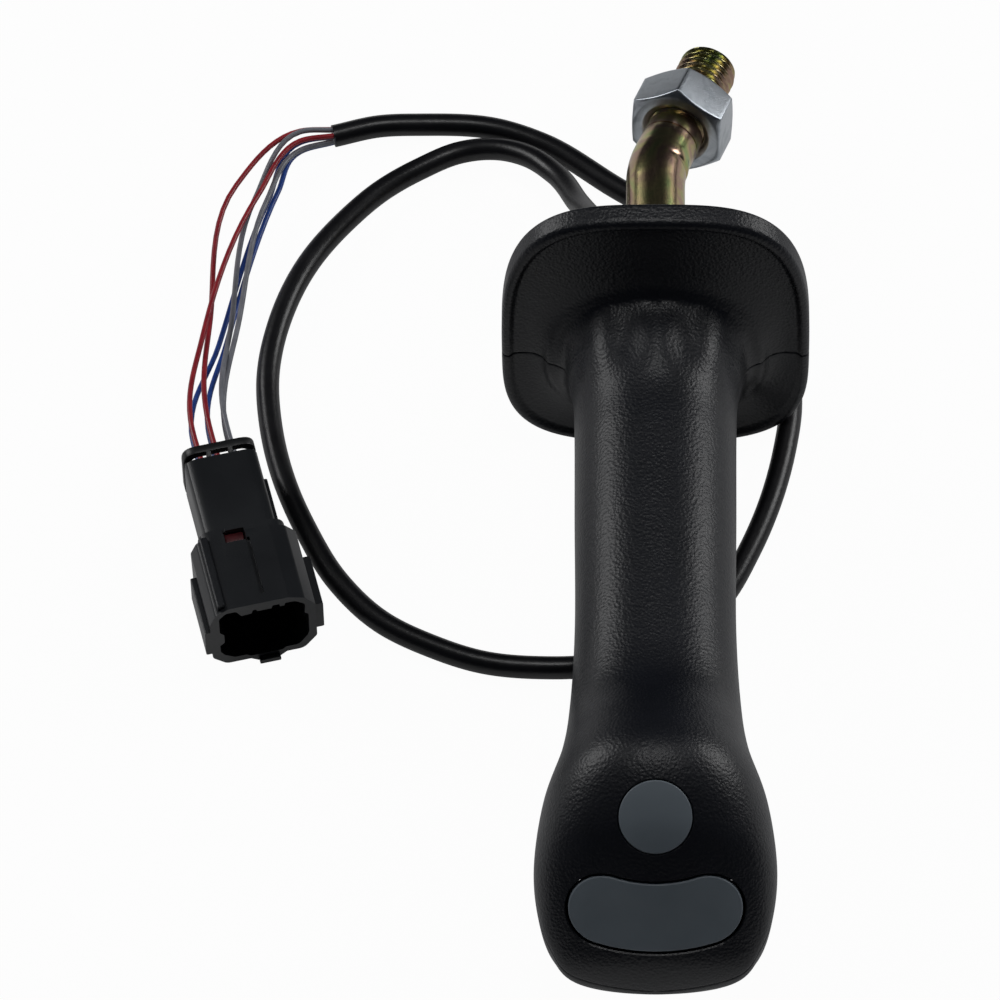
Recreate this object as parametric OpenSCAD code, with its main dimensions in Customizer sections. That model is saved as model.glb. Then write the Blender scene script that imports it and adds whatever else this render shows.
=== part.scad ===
// Industrial joystick: a two-shell moulded grip with a thumb button and a rocker, on a bent threaded rod,
// with its cable, wires and sealed connector. It lies on its back: +Z up, the head towards -Y.

/* [Grip] */
// Length of the grip, from the hand rest's underside to the tip of the head
grip_length = 171; // [166:1:180]
// Width of the stem
stem_width = 37.4; // [35:0.5:40]
// Height of the stem above the parting line
stem_above = 18; // [17:0.5:20]
// Height of the stem below the parting line
stem_below = 17; // [16:0.5:19]
// Largest width of the head
head_width = 54.8; // [51:0.5:57]
// Height of the head above the parting line
head_above = 27.5; // [26:0.5:30]
// Wall of the two shells
wall = 3; // [2.6:0.1:3.4]

/* [Hand rest] */
// Width of the hand rest
rest_width = 72; // [68:1:76]
// Height of the hand rest above the parting line
rest_above = 44.5; // [42:0.5:47]
// Height of the hand rest below the parting line
rest_below = 29.2; // [28:0.1:31]
// Thickness of the hand rest at its dished face
rest_thick = 5; // [4.6:0.1:6]
// Height of the raised bead round the dished face
bead_height = 1.6; // [1:0.1:2.2]
// Backward lean of the hand rest
rest_lean = 8; // [6:0.5:10]

/* [Button and rocker] */
// Diameter of the thumb button
button_d = 16.4; // [15:0.2:18]
// Travel of the thumb button
button_travel = 2; // [1:0.1:2.2]
// Width of the rocker between the centres of its round ends
rocker_span = 23; // [21:0.5:25]
// Depth of the rocker across its round ends
rocker_depth = 16.4; // [15:0.2:17]
// Swing of the rocker each way
rocker_swing = 4; // [2:0.5:4]
// Gap round the button and the rocker
cap_gap = 0.4; // [0.3:0.05:0.5]
// Diameter of the rocker's pivot pin
pivot_d = 2.5; // [2:0.1:3]

/* [Rod and nut] */
// Diameter of the rod and of its M14 thread
rod_d = 14; // [13:0.5:15]
// Straight length of the rod outside the hand rest
rod_reach = 44; // [40:1:50]
// Length of the rod inside the grip
rod_inside = 60; // [54:1:64]
// Radius of the rod's bend, at its centre
bend_radius = 24; // [18:1:30]
// Angle of the rod's bend
bend_angle = 22.5; // [15:0.5:27]
// Turn of the bend's plane from level, downwards to the right
bend_roll = 34; // [26:1:46]
// Length of the rod between its bend and the nut
shank_length = 10; // [8:0.5:14]
// Width of the nut across its flats
nut_flats = 22; // [21:0.5:24]
// Thickness of the nut
nut_thick = 11; // [9:0.5:12]
// Length of thread that stands out of the nut
thread_out = 15.5; // [12:0.5:18]
// Diameter of the cross pin that holds the rod in the grip
cross_pin_d = 5; // [4:0.5:6]

/* [Cable and connector] */
// Diameter of the cable
cable_d = 5.5; // [5:0.1:6]
// Diameter of each wire
wire_d = 1.3; // [1.2:0.1:1.5]
// Width of the connector's shroud
shroud_width = 25; // [24:0.5:27]
// Height of the connector's shroud
shroud_height = 23; // [21:0.5:25]
// Length of the connector's shroud
shroud_length = 21; // [20:0.5:25]
// Width of the connector's rear body
rear_width = 17.4; // [16.5:0.2:18.5]
// Length of the connector's rear body
rear_length = 29; // [27:0.5:31]
// Wall of the connector's shroud
shroud_wall = 1.8; // [1.5:0.1:2.1]

/* [Hidden] */

$fn = 48;
seam_z = rest_below * cos(rest_lean) - 0.8 * sin(rest_lean); // parting line's height over the surface
rod_r = rod_d / 2;
fit_gap = 0.05;         // running clearance on a radius
ring_steps = 16;        // points round half of a ring
span_steps = 3;         // rings between two stations

// The grip stands with its underside at y = 0 while it is drawn, and is then moved to its own centre.
rod_end = shank_length + nut_thick + thread_out;
thread_chamfer = 1.4;
nut_bore_r = rod_r + fit_gap;
root_depth = 1.2;        // the thread's first root past the nut, the only one in the solid
root_at = shank_length + nut_thick + 0.2;
root_width = 1;
rod_tip_y = rod_reach + bend_radius * sin(bend_angle) + rod_end * cos(bend_angle)
    + (rod_r - thread_chamfer) * sin(bend_angle);
module place() translate([0, (grip_length - rod_tip_y) / 2, 0]) children();

// Stations of the grip from the neck to the tip: distance from the hand rest's underside, height of
// the parting line, lean, half width, height above and below the line, squareness.
neck_at = rest_thick / cos(rest_lean) + 0.1;   // just past the hand rest's dished face
grip_stations = [
    [neck_at, seam_z, rest_lean, stem_width / 2 + 8.4, stem_above + 6.5, stem_below + 4, 2.3],
    [neck_at + 1.5, seam_z, rest_lean, stem_width / 2 + 7, stem_above + 5, stem_below + 3, 2.3],
    [neck_at + 3.5, seam_z, rest_lean, stem_width / 2 + 4, stem_above + 3, stem_below + 1.8, 2.3],
    [neck_at + 8.5, seam_z, rest_lean * 0.7, stem_width / 2 + 1.6, stem_above + 1.6, stem_below + 0.6, 2.3],
    [neck_at + 17.5, seam_z, rest_lean * 0.2, stem_width / 2 + 0.3, stem_above + 0.7, stem_below, 2.3],
    [grip_length - 117, seam_z, 0, stem_width / 2, stem_above, stem_below, 2.3],
    [grip_length - 88, seam_z, 0, stem_width / 2 - 0.2, stem_above - 0.4, stem_below, 2.3],
    [grip_length - 66, seam_z, 0, stem_width / 2 + 0.8, stem_above + 0.4, stem_below + 1, 2.3],
    [grip_length - 52, seam_z - 0.3, 0, head_width / 2 - 6, head_above - 3.6, stem_below + 5.5, 2.25],
    [grip_length - 38, seam_z - 0.9, 0, head_width / 2 - 1.8, head_above, seam_z - 2.2, 2.2],
    [grip_length - 24, seam_z - 2, 0, head_width / 2, head_above - 5.5, seam_z - 2, 2.2],
    [grip_length - 14, seam_z - 4.5, 0, head_width / 2 - 1, head_above - 13.4, seam_z - 4.8, 2.2],
    [grip_length - 7, seam_z - 8, 0, head_width / 2 - 3.7, head_above - 19.5, seam_z - 10.4, 2.2],
    [grip_length - 2, seam_z - 12.5, 0, head_width / 2 - 9.6, head_above - 22.2, seam_z - 22, 2.1],
    [grip_length, seam_z - 15, 0, 0, 0, 0, 2]];
last_station = len(grip_stations) - 1;

// A station past either end, so that the blend runs on smoothly and closes as a dome at the tip.
function stationAt(i) =
    i < 0 ? 2 * grip_stations[0] - grip_stations[1]
    : i <= last_station ? grip_stations[i]
    : let (s = grip_stations[last_station - 1]) [s[0], s[1], s[2], -s[3], -s[5], -s[4], s[6]];

function blend(a, b, c, d, t) =
    0.5 * (2 * b + (c - a) * t + (2 * a - 5 * b + 4 * c - d) * t * t + (3 * b - a - 3 * c + d) * t * t * t);

function sectionAt(u) =
    let (i = min(floor(u), last_station - 1))
    blend(stationAt(i - 1), stationAt(i), stationAt(i + 1), stationAt(i + 2), u - i);

function signedPower(v, e) = sign(v) * pow(abs(v), e);

// A point of a section at an angle round it: 0 is the right parting line, 90 the top, 270 the back.
function sectionPoint(s, angle, inset = 0) =
    let (e = 2 / s[6],
         h = (sin(angle) > 0 ? max(s[4] - inset, 0) : max(s[5] - inset, 0)) * signedPower(sin(angle), e))
    [max(s[3] - inset, 0) * signedPower(cos(angle), e), -s[0] + h * sin(s[2]), s[1] + h * cos(s[2])];

// The hand rest's rings: height over the underside, and inset from the outline.
rest_rings = [[0, 0.8], [0.8, 0], [rest_thick - 0.2, 0], [rest_thick + bead_height - 0.5, 0.5],
              [rest_thick + bead_height, 1.6], [rest_thick + bead_height - 0.4, 2.8],
              [rest_thick + 0.4, 4], [rest_thick, 6.5]];
function restSection(height, inset) =
    [height / cos(rest_lean), seam_z, rest_lean, rest_width / 2 - inset,
     rest_above - height * tan(rest_lean) - inset, rest_below + height * tan(rest_lean) - inset, 3.3];

outer_sections = concat([for (r = rest_rings) restSection(r[0], r[1])],
                        [for (k = [0:last_station * span_steps - 1]) sectionAt(k / span_steps)]);

// A closed solid through rings of points that all have the same count, with a fan or a point at its end.
// Where the rings fold back between two of them, the open side runs straight across the fold.
module ringSolid(rings, tip = undef, fold = [0, 0]) {
    n = len(rings[0]);
    m = len(rings);
    a = fold[0];
    b = fold[1];
    points = concat([for (r = rings) each r], tip == undef ? [] : [tip]);
    sides = [for (j = [0:m - 2]) for (k = [0:n - (j >= a && j < b ? 2 : 1)])
             each [[j * n + (k + 1) % n, j * n + k, (j + 1) * n + (k + 1) % n],
                   [(j + 1) * n + (k + 1) % n, j * n + k, (j + 1) * n + k]]];
    across = a == b ? []
        : concat([[a * n, a * n + n - 1, b * n], [b * n, a * n + n - 1, b * n + n - 1]],
                 [for (j = [a + 1:b - 1]) [a * n, (j + 1) * n, j * n]],
                 [for (j = [a + 1:b - 1]) [a * n + n - 1, j * n + n - 1, (j + 1) * n + n - 1]]);
    start = [[for (k = [0:n - 1]) k]];
    finish = tip == undef ? [[for (k = [n - 1:-1:0]) (m - 1) * n + k]]
                          : [for (k = [0:n - 1]) [(m - 1) * n + (k + 1) % n, (m - 1) * n + k, m * n]];
    polyhedron(points, concat(start, sides, across, finish), convexity = 10);
}

// Half of the grip as a solid: the half above the parting line, or the half below it.
module gripHalf(front) {
    turn = front ? 0 : 180;
    rings = [for (s = outer_sections)
             [for (k = [0:ring_steps]) sectionPoint(s, turn + 180 * k / ring_steps)]];
    tip = sectionPoint(grip_stations[last_station], 0);
    ringSolid(rings, tip, [2, len(rest_rings) - 1]);
}

// Frame on the grip's front centre line: the point at parameter u and the turn of its outward normal.
function frontPoint(u) = sectionPoint(sectionAt(u), 90);
function frontTurn(u) = let (d = frontPoint(u + 0.02) - frontPoint(u - 0.02)) atan2(-d[2], -d[1]);
button_u = last_station - 4;
rocker_u = last_station - 2.25;
module onFront(u) translate(frontPoint(u)) rotate([frontTurn(u), 0, 0]) children();

// The rod's axis as local Z, turned to the plane of the bend, with its origin where the bend starts.
module alongRod() translate([0, rod_reach, seam_z]) rotate([-90, 0, 0]) rotate([0, 0, bend_roll]) children();
// The same past the bend, with its origin at the bend's end.
module pastBend() alongRod()
    translate([bend_radius * (1 - cos(bend_angle)), 0, bend_radius * sin(bend_angle)])
    rotate([0, bend_angle, 0]) children();

// Screws that join the shells, as [x, distance from the hand rest's underside].
screw_x = 11.4;         // clear of the rod, inside the stem's wall
head_screw_x = 18.5;
screw_rows = [15, 72, grip_length - 33];
screw_sites = [for (d = screw_rows) for (side = [-1, 1])
               [side * (d == screw_rows[2] ? head_screw_x : screw_x), d]];
screw_seat_z = 19;      // underside of the screws' heads
screw_d = 3.4;
screw_head_d = 6.6;
screw_head_h = 2.4;
screw_length = 22;
boss_d = 8;
module atScrews() for (s = screw_sites) translate([s[0], -s[1], 0]) children();

// Ribs across the stem that hold the rod.
cross_pin_at = rod_inside - 12;
cross_pin_length = 25;
ribs = [[30, 2.4], [cross_pin_at, cross_pin_d + 4]];    // distance and thickness
// The cable's inner run, above the rod, in the stem's bore.
bore_r = stem_width / 2 - wall - 0.6;
cable_x = -4;
cable_up = min(rod_r + cable_d / 2 + 1.8,
               sqrt(pow(bore_r - cable_d / 2 - 0.1, 2) - cable_x * cable_x));     // inside the stem's wall
grommet_r = cable_d / 2 + 1.6;
jacket_end = 34;
module alongCable() translate([cable_x, 0, seam_z + cable_up]) rotate([90, 0, 0]) children();

// Bosses for the carrier's screws, in the button's frame.
carrier_boss_x = 7.5;
carrier_boss_y = 11.5;
plate_thick = 2;
well_depth = 7;         // depth of the button's guide under the surface
post_depth = 11;        // depth of the end of the button's post
button_switch_depth = post_depth + button_travel + 0.4;
switch_size = [12.8, 5.8, 6.5];
button_plate_depth = button_switch_depth + switch_size[2];
module atCarrierBosses() onFront(button_u)
    for (side = [-1, 1]) translate([side * carrier_boss_x, carrier_boss_y, -button_plate_depth]) children();

// The hollow inside the neck, the stem and the head, which is parted by the ribs.
bore_start = 3.5;
head_bore_r = 21;
head_bore_at = grip_length - 31.5;
module stemBore() difference() {
    translate([0, -bore_start, seam_z]) rotate([90, 0, 0])
        cylinder(h = head_bore_at - 8 - bore_start, r = bore_r);
    for (rib = ribs) difference() {
        translate([-30, -rib[0] - rib[1] / 2, -10]) cube([60, rib[1], 100]);
        alongCable() translate([0, 0, rib[0] - 10]) cylinder(h = 20, r = cable_d / 2 + 0.8);
    }
}
module headBore() {
    translate([0, -head_bore_at, seam_z - 3.4]) sphere(r = head_bore_r);
    onFront(button_u) translate([0, 0, -26]) cylinder(h = 26 - well_depth, r = 18);
}

// The hand rest's hollow underside, round the neck.
module restHollow() {
    s = restSection(0, 3);
    outline = [for (k = [0:47]) let (p = sectionPoint(s, k * 7.5)) [p[0], (p[2] - seam_z) / cos(rest_lean)]];
    translate([0, 0, seam_z]) rotate([90 - rest_lean, 0, 0]) translate([0, 0, -1])
        linear_extrude(height = rest_thick - 1.8) difference() {
            polygon(outline);
            translate([0, 1]) circle(r = stem_width / 2 + 5.5);
        }
}

module rodBore(r) translate([0, 20, seam_z]) rotate([90, 0, 0]) cylinder(h = rod_inside + 20.3, r = r);
module crossPinAxis(r, length)
    translate([-length / 2, -cross_pin_at, seam_z]) rotate([0, 90, 0]) cylinder(h = length, r = r);

// Outline of the rocker: a bean whose middle dips towards the tip.
rocker_bend = 42;       // radius of the bean's middle line
module rockerOutline(grow) {
    side = rocker_depth / 2 + grow;
    turn = asin(rocker_span / 2 / rocker_bend);
    steps = 10;
    translate([0, rocker_bend]) polygon([
        for (k = [-steps:steps]) let (a = turn * k / steps) (rocker_bend + side) * [sin(a), -cos(a)],
        for (k = [1:steps]) let (a = turn - 90 + 180 * k / (steps + 1))
            rocker_bend * [sin(turn), -cos(turn)] + side * [cos(a), sin(a)],
        for (k = [-steps:steps]) let (a = -turn * k / steps) (rocker_bend - side) * [sin(a), -cos(a)],
        for (k = [1:steps]) let (a = 90 - turn + 180 * k / (steps + 1))
            rocker_bend * [-sin(turn), -cos(turn)] + side * [cos(a), sin(a)]]);
}

// The hollows are cut one after the other, the large ones first.
module frontHollowed() difference() {
    difference() {
        difference() {
            gripHalf(true);
            difference() {
                stemBore();
                atScrews() translate([0, 0, seam_z - 4]) cylinder(h = 40, d = boss_d);
            }
        }
        difference() {
            headBore();
            atCarrierBosses() cylinder(h = 30, d = 6.4);
        }
    }
    restHollow();
}
module frontBored() difference() {
    difference() {
        difference() {
            difference() {
                frontHollowed();
                rodBore(rod_r);
            }
            crossPinAxis(cross_pin_d / 2, cross_pin_length + 0.6);
        }
        alongCable() translate([0, 0, -10]) cylinder(h = 10 + bore_start + 0.5, r = grommet_r);
    }
    atScrews() translate([0, 0, seam_z - 5])
        cylinder(h = screw_seat_z + screw_length + 0.5 - seam_z + 5, d = screw_d - 0.5);
}
module front_shell() color("#1b1c1e") difference() {
    difference() {
        difference() {
            frontBored();
            atCarrierBosses() translate([0, 0, -1]) cylinder(h = 8, d = carrier_screw_d);
        }
        onFront(button_u) translate([0, 0, -well_depth - 1]) cylinder(h = 30, r = button_d / 2 + cap_gap);
    }
    onFront(rocker_u) translate([0, 0, -plunger_depth - 2]) linear_extrude(height = 40) rockerOutline(cap_gap + 0.1);
}

module rearHollowed() difference() {
    difference() {
        difference() {
            gripHalf(false);
            difference() {
                stemBore();
                atScrews() rotate_extrude()
                    polygon([[0, -10], [screw_head_d / 2 + 1.7, -10], [screw_head_d / 2 + 1.7, screw_seat_z + 2],
                             [boss_d / 2, screw_seat_z + 2], [boss_d / 2, seam_z + 5], [0, seam_z + 5]]);
            }
        }
        headBore();
    }
    restHollow();
}
module rear_shell() color("#232427") difference() {
    difference() {
        difference() {
            difference() {
                rearHollowed();
                rodBore(rod_r);
            }
            crossPinAxis(cross_pin_d / 2, cross_pin_length + 0.6);
        }
        onFront(rocker_u) translate([0, 0, -plunger_depth - 2]) linear_extrude(height = 40) rockerOutline(cap_gap + 0.1);
    }
    atScrews() rotate_extrude()
        polygon([[0, -1], [screw_head_d / 2 + 0.3, -1], [screw_head_d / 2 + 0.3, screw_seat_z],
                 [screw_d / 2 + 0.25, screw_seat_z], [screw_d / 2 + 0.25, seam_z + 1], [0, seam_z + 1]]);
}

// The bend is a little thicker than the rod, whose straight ends run into it.
bend_swell = 0.08;
bend_lap = 1;
module stud_rod() color("#a79a5a") difference() {
    union() {
        translate([0, -rod_inside, seam_z]) rotate([-90, 0, 0])
            cylinder(h = rod_inside + rod_reach + bend_lap, r = rod_r);
        alongRod() translate([bend_radius, 0, 0]) rotate([90, 0, 180])
            rotate_extrude(angle = bend_angle) translate([bend_radius, 0]) circle(r = rod_r + bend_swell);
        pastBend() rotate_extrude()
            polygon([[0, -bend_lap], [rod_r, -bend_lap], [rod_r, root_at],
                     [rod_r - root_depth, root_at + root_width / 2], [rod_r, root_at + root_width],
                     [rod_r, rod_end - thread_chamfer],
                     [rod_r - thread_chamfer, rod_end], [0, rod_end]]);
    }
    crossPinAxis(cross_pin_d / 2, rod_d + 2);
}

// The nut: a hexagon turned so that one edge points up, chamfered at both ends.
nut_turn = 115;
nut_chamfer = 1.5;
module lock_nut() color("#c9ced2") pastBend() translate([0, 0, shank_length]) difference() {
    rotate([0, 0, nut_turn]) intersection() {
        cylinder(h = nut_thick, d = nut_flats / cos(30), $fn = 6);
        rotate_extrude() let (flat_r = nut_flats / 2 - 0.5, corner_r = flat_r + nut_chamfer * 1.8)
            polygon([[0, 0], [flat_r, 0], [corner_r, nut_chamfer], [corner_r, nut_thick - nut_chamfer],
                     [flat_r, nut_thick], [0, nut_thick]]);
    }
    translate([0, 0, -1]) cylinder(h = nut_thick + 2, r = nut_bore_r);
    rotate_extrude() polygon([[0, -1], [nut_bore_r + 2, -1], [nut_bore_r - 0.05, 1], [0, 1]]);
    translate([0, 0, nut_thick]) mirror([0, 0, 1])
        rotate_extrude() polygon([[0, -1], [nut_bore_r + 2, -1], [nut_bore_r - 0.05, 1], [0, 1]]);
}

module rod_cross_pin() color("#8d9296") crossPinAxis(cross_pin_d / 2, cross_pin_length);

// The button: a domed cup with a lip that keeps it in its guide, and a post to the switch.
button_wall = 1.6;
button_skirt = well_depth + 0.8;    // depth of the lip's upper face
lip_h = 1.2;
module push_button() color("#4a5258") onFront(button_u) {
    r = button_d / 2;
    dome_r = 60;
    rotate_extrude() polygon(concat(
        [for (a = [0:1:asin(r / dome_r)]) [dome_r * sin(a), 0.4 - dome_r * (1 - cos(a))]],
        [[r, 0.4 - dome_r * (1 - cos(asin(r / dome_r)))], [r, -button_skirt],
         [r + cap_gap + 0.9, -button_skirt], [r + cap_gap + 0.9, -button_skirt - lip_h],
         [r - button_wall, -button_skirt - lip_h], [r - button_wall, -2.2], [2.5, -2.2],
         [2.5, -post_depth], [1, -post_depth], [1, -button_switch_depth - 1], [0, -button_switch_depth - 1]]));
}

// Small switches, whose sizes are length, width and height.
plunger_d = 2;
module microswitch(bore_depth) difference() {
    translate([-switch_size[0] / 2, -switch_size[1] / 2, -switch_size[2]]) cube(switch_size);
    translate([0, 0, -bore_depth]) cylinder(h = bore_depth + 1, r = plunger_d / 2 + fit_gap);
    for (side = [-1, 1]) translate([side * 3.6, 0, -switch_size[2] + 1.6]) rotate([90, 0, 0])
        cylinder(h = switch_size[1] + 2, d = 1.6, center = true);
}
module button_microswitch() color("#202020")
    onFront(button_u) translate([0, 0, -button_switch_depth]) microswitch(button_travel + 1.6);

// The rocker turns on a pin across its short side, over two plungers.
pivot_depth = 11;       // depth of the pivot under the surface
plunger_x = 10;
plunger_depth = 13.6;   // depth of the plungers' tops
rocker_switch_depth = plunger_depth + 1.8;
rocker_face_r = 35;     // radius of the rocker's face across the grip
rocker_skin = 2.6;
post_w = 3.2;
block_w = 6.8;
module rocker_cap() color("#4a5258") onFront(rocker_u) difference() {
    union() {
        intersection() {
            translate([0, 0, 0.3 - plunger_depth]) linear_extrude(height = plunger_depth + 2) rockerOutline(0);
            translate([0, 0, 0.4 - rocker_face_r]) rotate([90, 0, 0])
                linear_extrude(height = 60, center = true) difference() {
                    circle(r = rocker_face_r);
                    circle(r = rocker_face_r - rocker_skin);
                }
        }
        for (side = [-1, 1]) translate([side * plunger_x - post_w / 2, -2.5, 0.3 - plunger_depth])
            cube([post_w, 5, plunger_depth - 3.6]);
        translate([-block_w / 2, -block_w / 2, 0.3 - plunger_depth]) cube([block_w, block_w, plunger_depth - 1.8]);
    }
    rotate([90, 0, 0]) translate([0, -pivot_depth, 0])
        cylinder(h = 20, r = pivot_d / 2 + fit_gap, center = true);
}

pivot_length = 14;
module rocker_pivot_pin() color("#9aa0a4") onFront(rocker_u)
    rotate([90, 0, 0]) translate([0, -pivot_depth, 0]) cylinder(h = pivot_length, d = pivot_d, center = true);

module rockerPlunger(side) color("#d8d2c0") onFront(rocker_u)
    translate([side * plunger_x, 0, -rocker_switch_depth - 3])
        cylinder(h = rocker_switch_depth + 3 - plunger_depth, d = plunger_d);
module rocker_plunger_left() rockerPlunger(-1);
module rocker_plunger_right() rockerPlunger(1);
module rockerMicroswitch(side) color("#202020") onFront(rocker_u)
    translate([side * plunger_x, 0, -rocker_switch_depth]) rotate([0, 0, 90]) microswitch(5);
module rocker_microswitch_left() rockerMicroswitch(-1);
module rocker_microswitch_right() rockerMicroswitch(1);

// The carrier: a plate under each row of switches, a web between them, and lugs for the pivot pin.
module carrierPlate(u, depth, low, high, half) onFront(u)
    translate([-half, low, -depth - plate_thick]) cube([2 * half, high - low, plate_thick]);
rocker_plate_depth = rocker_switch_depth + switch_size[2];
// A point of the middle plane, from its place in a front frame.
function middlePoint(u, across, depth) =
    let (p = frontPoint(u), t = frontTurn(u))
    [p[1] + across * cos(t) + depth * sin(t), p[2] + across * sin(t) - depth * cos(t)];
module switch_carrier() color("#2f3a3f") difference() {
    union() {
        carrierPlate(button_u, button_plate_depth, -5, 14.5, carrier_boss_x + 2.6);
        carrierPlate(rocker_u, rocker_plate_depth, -7.4, 7.4, plunger_x + switch_size[1] / 2 + 0.6);
        rotate([90, 0, 90]) translate([0, 0, -2]) linear_extrude(height = 4)
            polygon([middlePoint(button_u, -4, button_plate_depth + 1),
                     middlePoint(button_u, 10, button_plate_depth + 1),
                     middlePoint(rocker_u, 6, rocker_plate_depth + 1),
                     middlePoint(rocker_u, -3, rocker_plate_depth + 1)]);
        for (end = [-1, 1]) onFront(rocker_u)
            translate([-3, end * 5.6 - 1.4, -rocker_plate_depth - 1])
                cube([6, 2.8, rocker_plate_depth + 1 - pivot_depth + 2.2]);
    }
    atCarrierBosses() translate([0, 0, -10]) cylinder(h = 20, d = 2.9);
    onFront(rocker_u) rotate([90, 0, 0]) translate([0, -pivot_depth, 0])
        cylinder(h = 20, d = pivot_d, center = true);
}
carrier_screw_d = 2.6;
module carrier_screws() color("#a8acae") atCarrierBosses() rotate_extrude()
    polygon([[0, -plate_thick - 1.6], [2.4, -plate_thick - 1.6], [2.4, -plate_thick],
             [carrier_screw_d / 2, -plate_thick], [carrier_screw_d / 2, 5.5], [0, 6.5]]);

module shell_screws() color("#8f9498") atScrews() rotate_extrude()
    polygon([[0, screw_seat_z - screw_head_h], [screw_head_d / 2, screw_seat_z - screw_head_h],
             [screw_head_d / 2, screw_seat_z], [screw_d / 2 - 0.25, screw_seat_z],
             [screw_d / 2 - 0.25, screw_seat_z + screw_length - 1], [0, screw_seat_z + screw_length]]);

// The cable: a grommet in the hand rest, the part inside, and six leads to the switches.
grommet_lip = 1.2;
grommet_out = 3.6;      // reach of the grommet past the underside's middle
module cable_grommet() color("#17181a") alongCable() difference() {
    union() {
        translate([0, 0, -grommet_out]) cylinder(h = grommet_out + 4, r = grommet_r);
        translate([0, 0, -grommet_out]) cylinder(h = grommet_lip, r = grommet_r + 0.6);
    }
    translate([0, 0, -grommet_out - 1]) cylinder(h = 20, r = cable_d / 2 + fit_gap);
}
module inner_cable() color("#141416") alongCable()
    translate([0, 0, -grommet_out]) cylinder(h = grommet_out + jacket_end, r = cable_d / 2);

// A tube of round section along a smooth route.
function routePoint(route, t) =
    let (n = len(route) - 1, i = min(floor(t), n - 1),
         before = i > 0 ? route[i - 1] : 2 * route[0] - route[1],
         after = i + 2 <= n ? route[i + 2] : 2 * route[n] - route[n - 1])
    blend(before, route[i], route[i + 1], after, t - i);
module sweep(route, d, rings, sides) {
    n = len(route) - 1;
    eps = 0.01;
    tube = [for (j = [0:rings - 1])
            let (t = j * n / (rings - 1),
                 along = routePoint(route, min(t + eps, n)) - routePoint(route, max(t - eps, 0)),
                 dir = along / norm(along),
                 side = cross(dir, [0, 0, 1]) / norm(cross(dir, [0, 0, 1])),
                 up = cross(side, dir))
            [for (k = [0:sides - 1]) let (a = 360 * k / sides)
             routePoint(route, t) + d / 2 * (cos(a) * side - sin(a) * up)]];
    ringSolid(tube);
}

// Each lead runs from the end of the jacket to a switch.
lead_start = [cable_x, -jacket_end, seam_z + cable_up];
function frontSpot(u, x, across, depth) = let (p = middlePoint(u, across, depth)) [x, p[0], p[1]];
lead_ends = [frontSpot(button_u, -7.2, 0, button_plate_depth - 3),
             frontSpot(button_u, 7.2, 0, button_plate_depth - 3),
             frontSpot(rocker_u, -11, 6.9, rocker_plate_depth - 2),
             frontSpot(rocker_u, -9, 6.9, rocker_plate_depth - 2),
             frontSpot(rocker_u, 9, 6.9, rocker_plate_depth - 2),
             frontSpot(rocker_u, 11, 6.9, rocker_plate_depth - 2)];
lead_side = bore_r - 2.8;
lead_turn = 48 - grip_length;
lead_bends = [[-lead_side, lead_turn, 37], [lead_side, lead_turn, 37], for (k = [2:5]) lead_ends[k] + [0, 14, 5]];
module inner_leads() color("#7d2a2c") for (k = [0:5]) {
    a = 60 * k;
    from = lead_start + 1.6 * [cos(a), 0, sin(a)];
    to = lead_ends[k];
    sweep([from, from + [0, -12, 0], [from[0] * 0.6 + to[0] * 0.4, lead_turn + 33, seam_z + 8 + 2 * sin(a)],
           lead_bends[k], to], wire_d - 0.2, 8, 6);
}

// The cable lies in one loop: from the grommet to the left, round under the stem, up behind the hand
// rest and past the rod to the end of its jacket.
cable_route = [[cable_x, grommet_out + 0.1, seam_z + cable_up],
               [cable_x, grommet_out + 4, seam_z + cable_up], [-6, 15, 39.5], [-9.5, 24, 35],
               [-14, 35, 27], [-18.5, 49, 16], [-24, 62, 10], [-31, 69.5, 7.5], [-38, 73, 5.5],
               [-47, 73.5, 3.6], [-57, 69, 2.8], [-66, 62.5, 2.8], [-74, 54, 2.8], [-83, 41, 2.8],
               [-90, 22, 2.8], [-92, 8, 2.8], [-91, -7, 2.8], [-88, -21, 2.8], [-82, -37, 2.8],
               [-74, -52, 2.8], [-64, -63, 2.8], [-52, -70, 2.8], [-40, -74.5, 2.8], [-27, -76, 2.8],
               [-12, -75, 2.8], [3, -69, 2.8], [15, -57, 2.8], [22, -43, 2.8], [30.5, -14, 2.8],
               [32, -2, 2.8], [31.5, 10, 2.8], [27.5, 26, 2.8], [18, 41, 2.8], [5, 53, 2.8], [-9, 63, 2.8],
               [-28, 77, 2.8], [-38, 81, 2.8], [-57, 82.5, 2.8], [-67, 82, 2.8], [-78, 79, 2.8]];
module signal_cable() color("#141416") sweep(cable_route, cable_d, 46, 10);

// The connector lies on the surface, with its mouth towards the head and a little to the right.
connector_at = [-102.5, -24];
connector_yaw = 14;
rear_height = 17;
core_z = shroud_height / 2;
module atConnector() translate([connector_at[0], connector_at[1], 0]) rotate([0, 0, connector_yaw]) children();
// A place in the connector's own frame: x across, y back from the rear face towards the wires, z up.
function connectorSpot(x, y, z) =
    [connector_at[0] + x * cos(connector_yaw) - y * sin(connector_yaw),
     connector_at[1] + x * sin(connector_yaw) + y * cos(connector_yaw), z];
row_pitch = 4.8;
column_pitch = 4;
columns = [-1, 0, 1];
rows = [-0.5, 0.5];
module atPoles() for (c = columns) for (r = rows)
    translate([c * column_pitch, 0, core_z + r * row_pitch]) rotate([90, 0, 0]) children();
function poleSpot(c, r, y) = connectorSpot(c * column_pitch, y, core_z + r * row_pitch);

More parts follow.
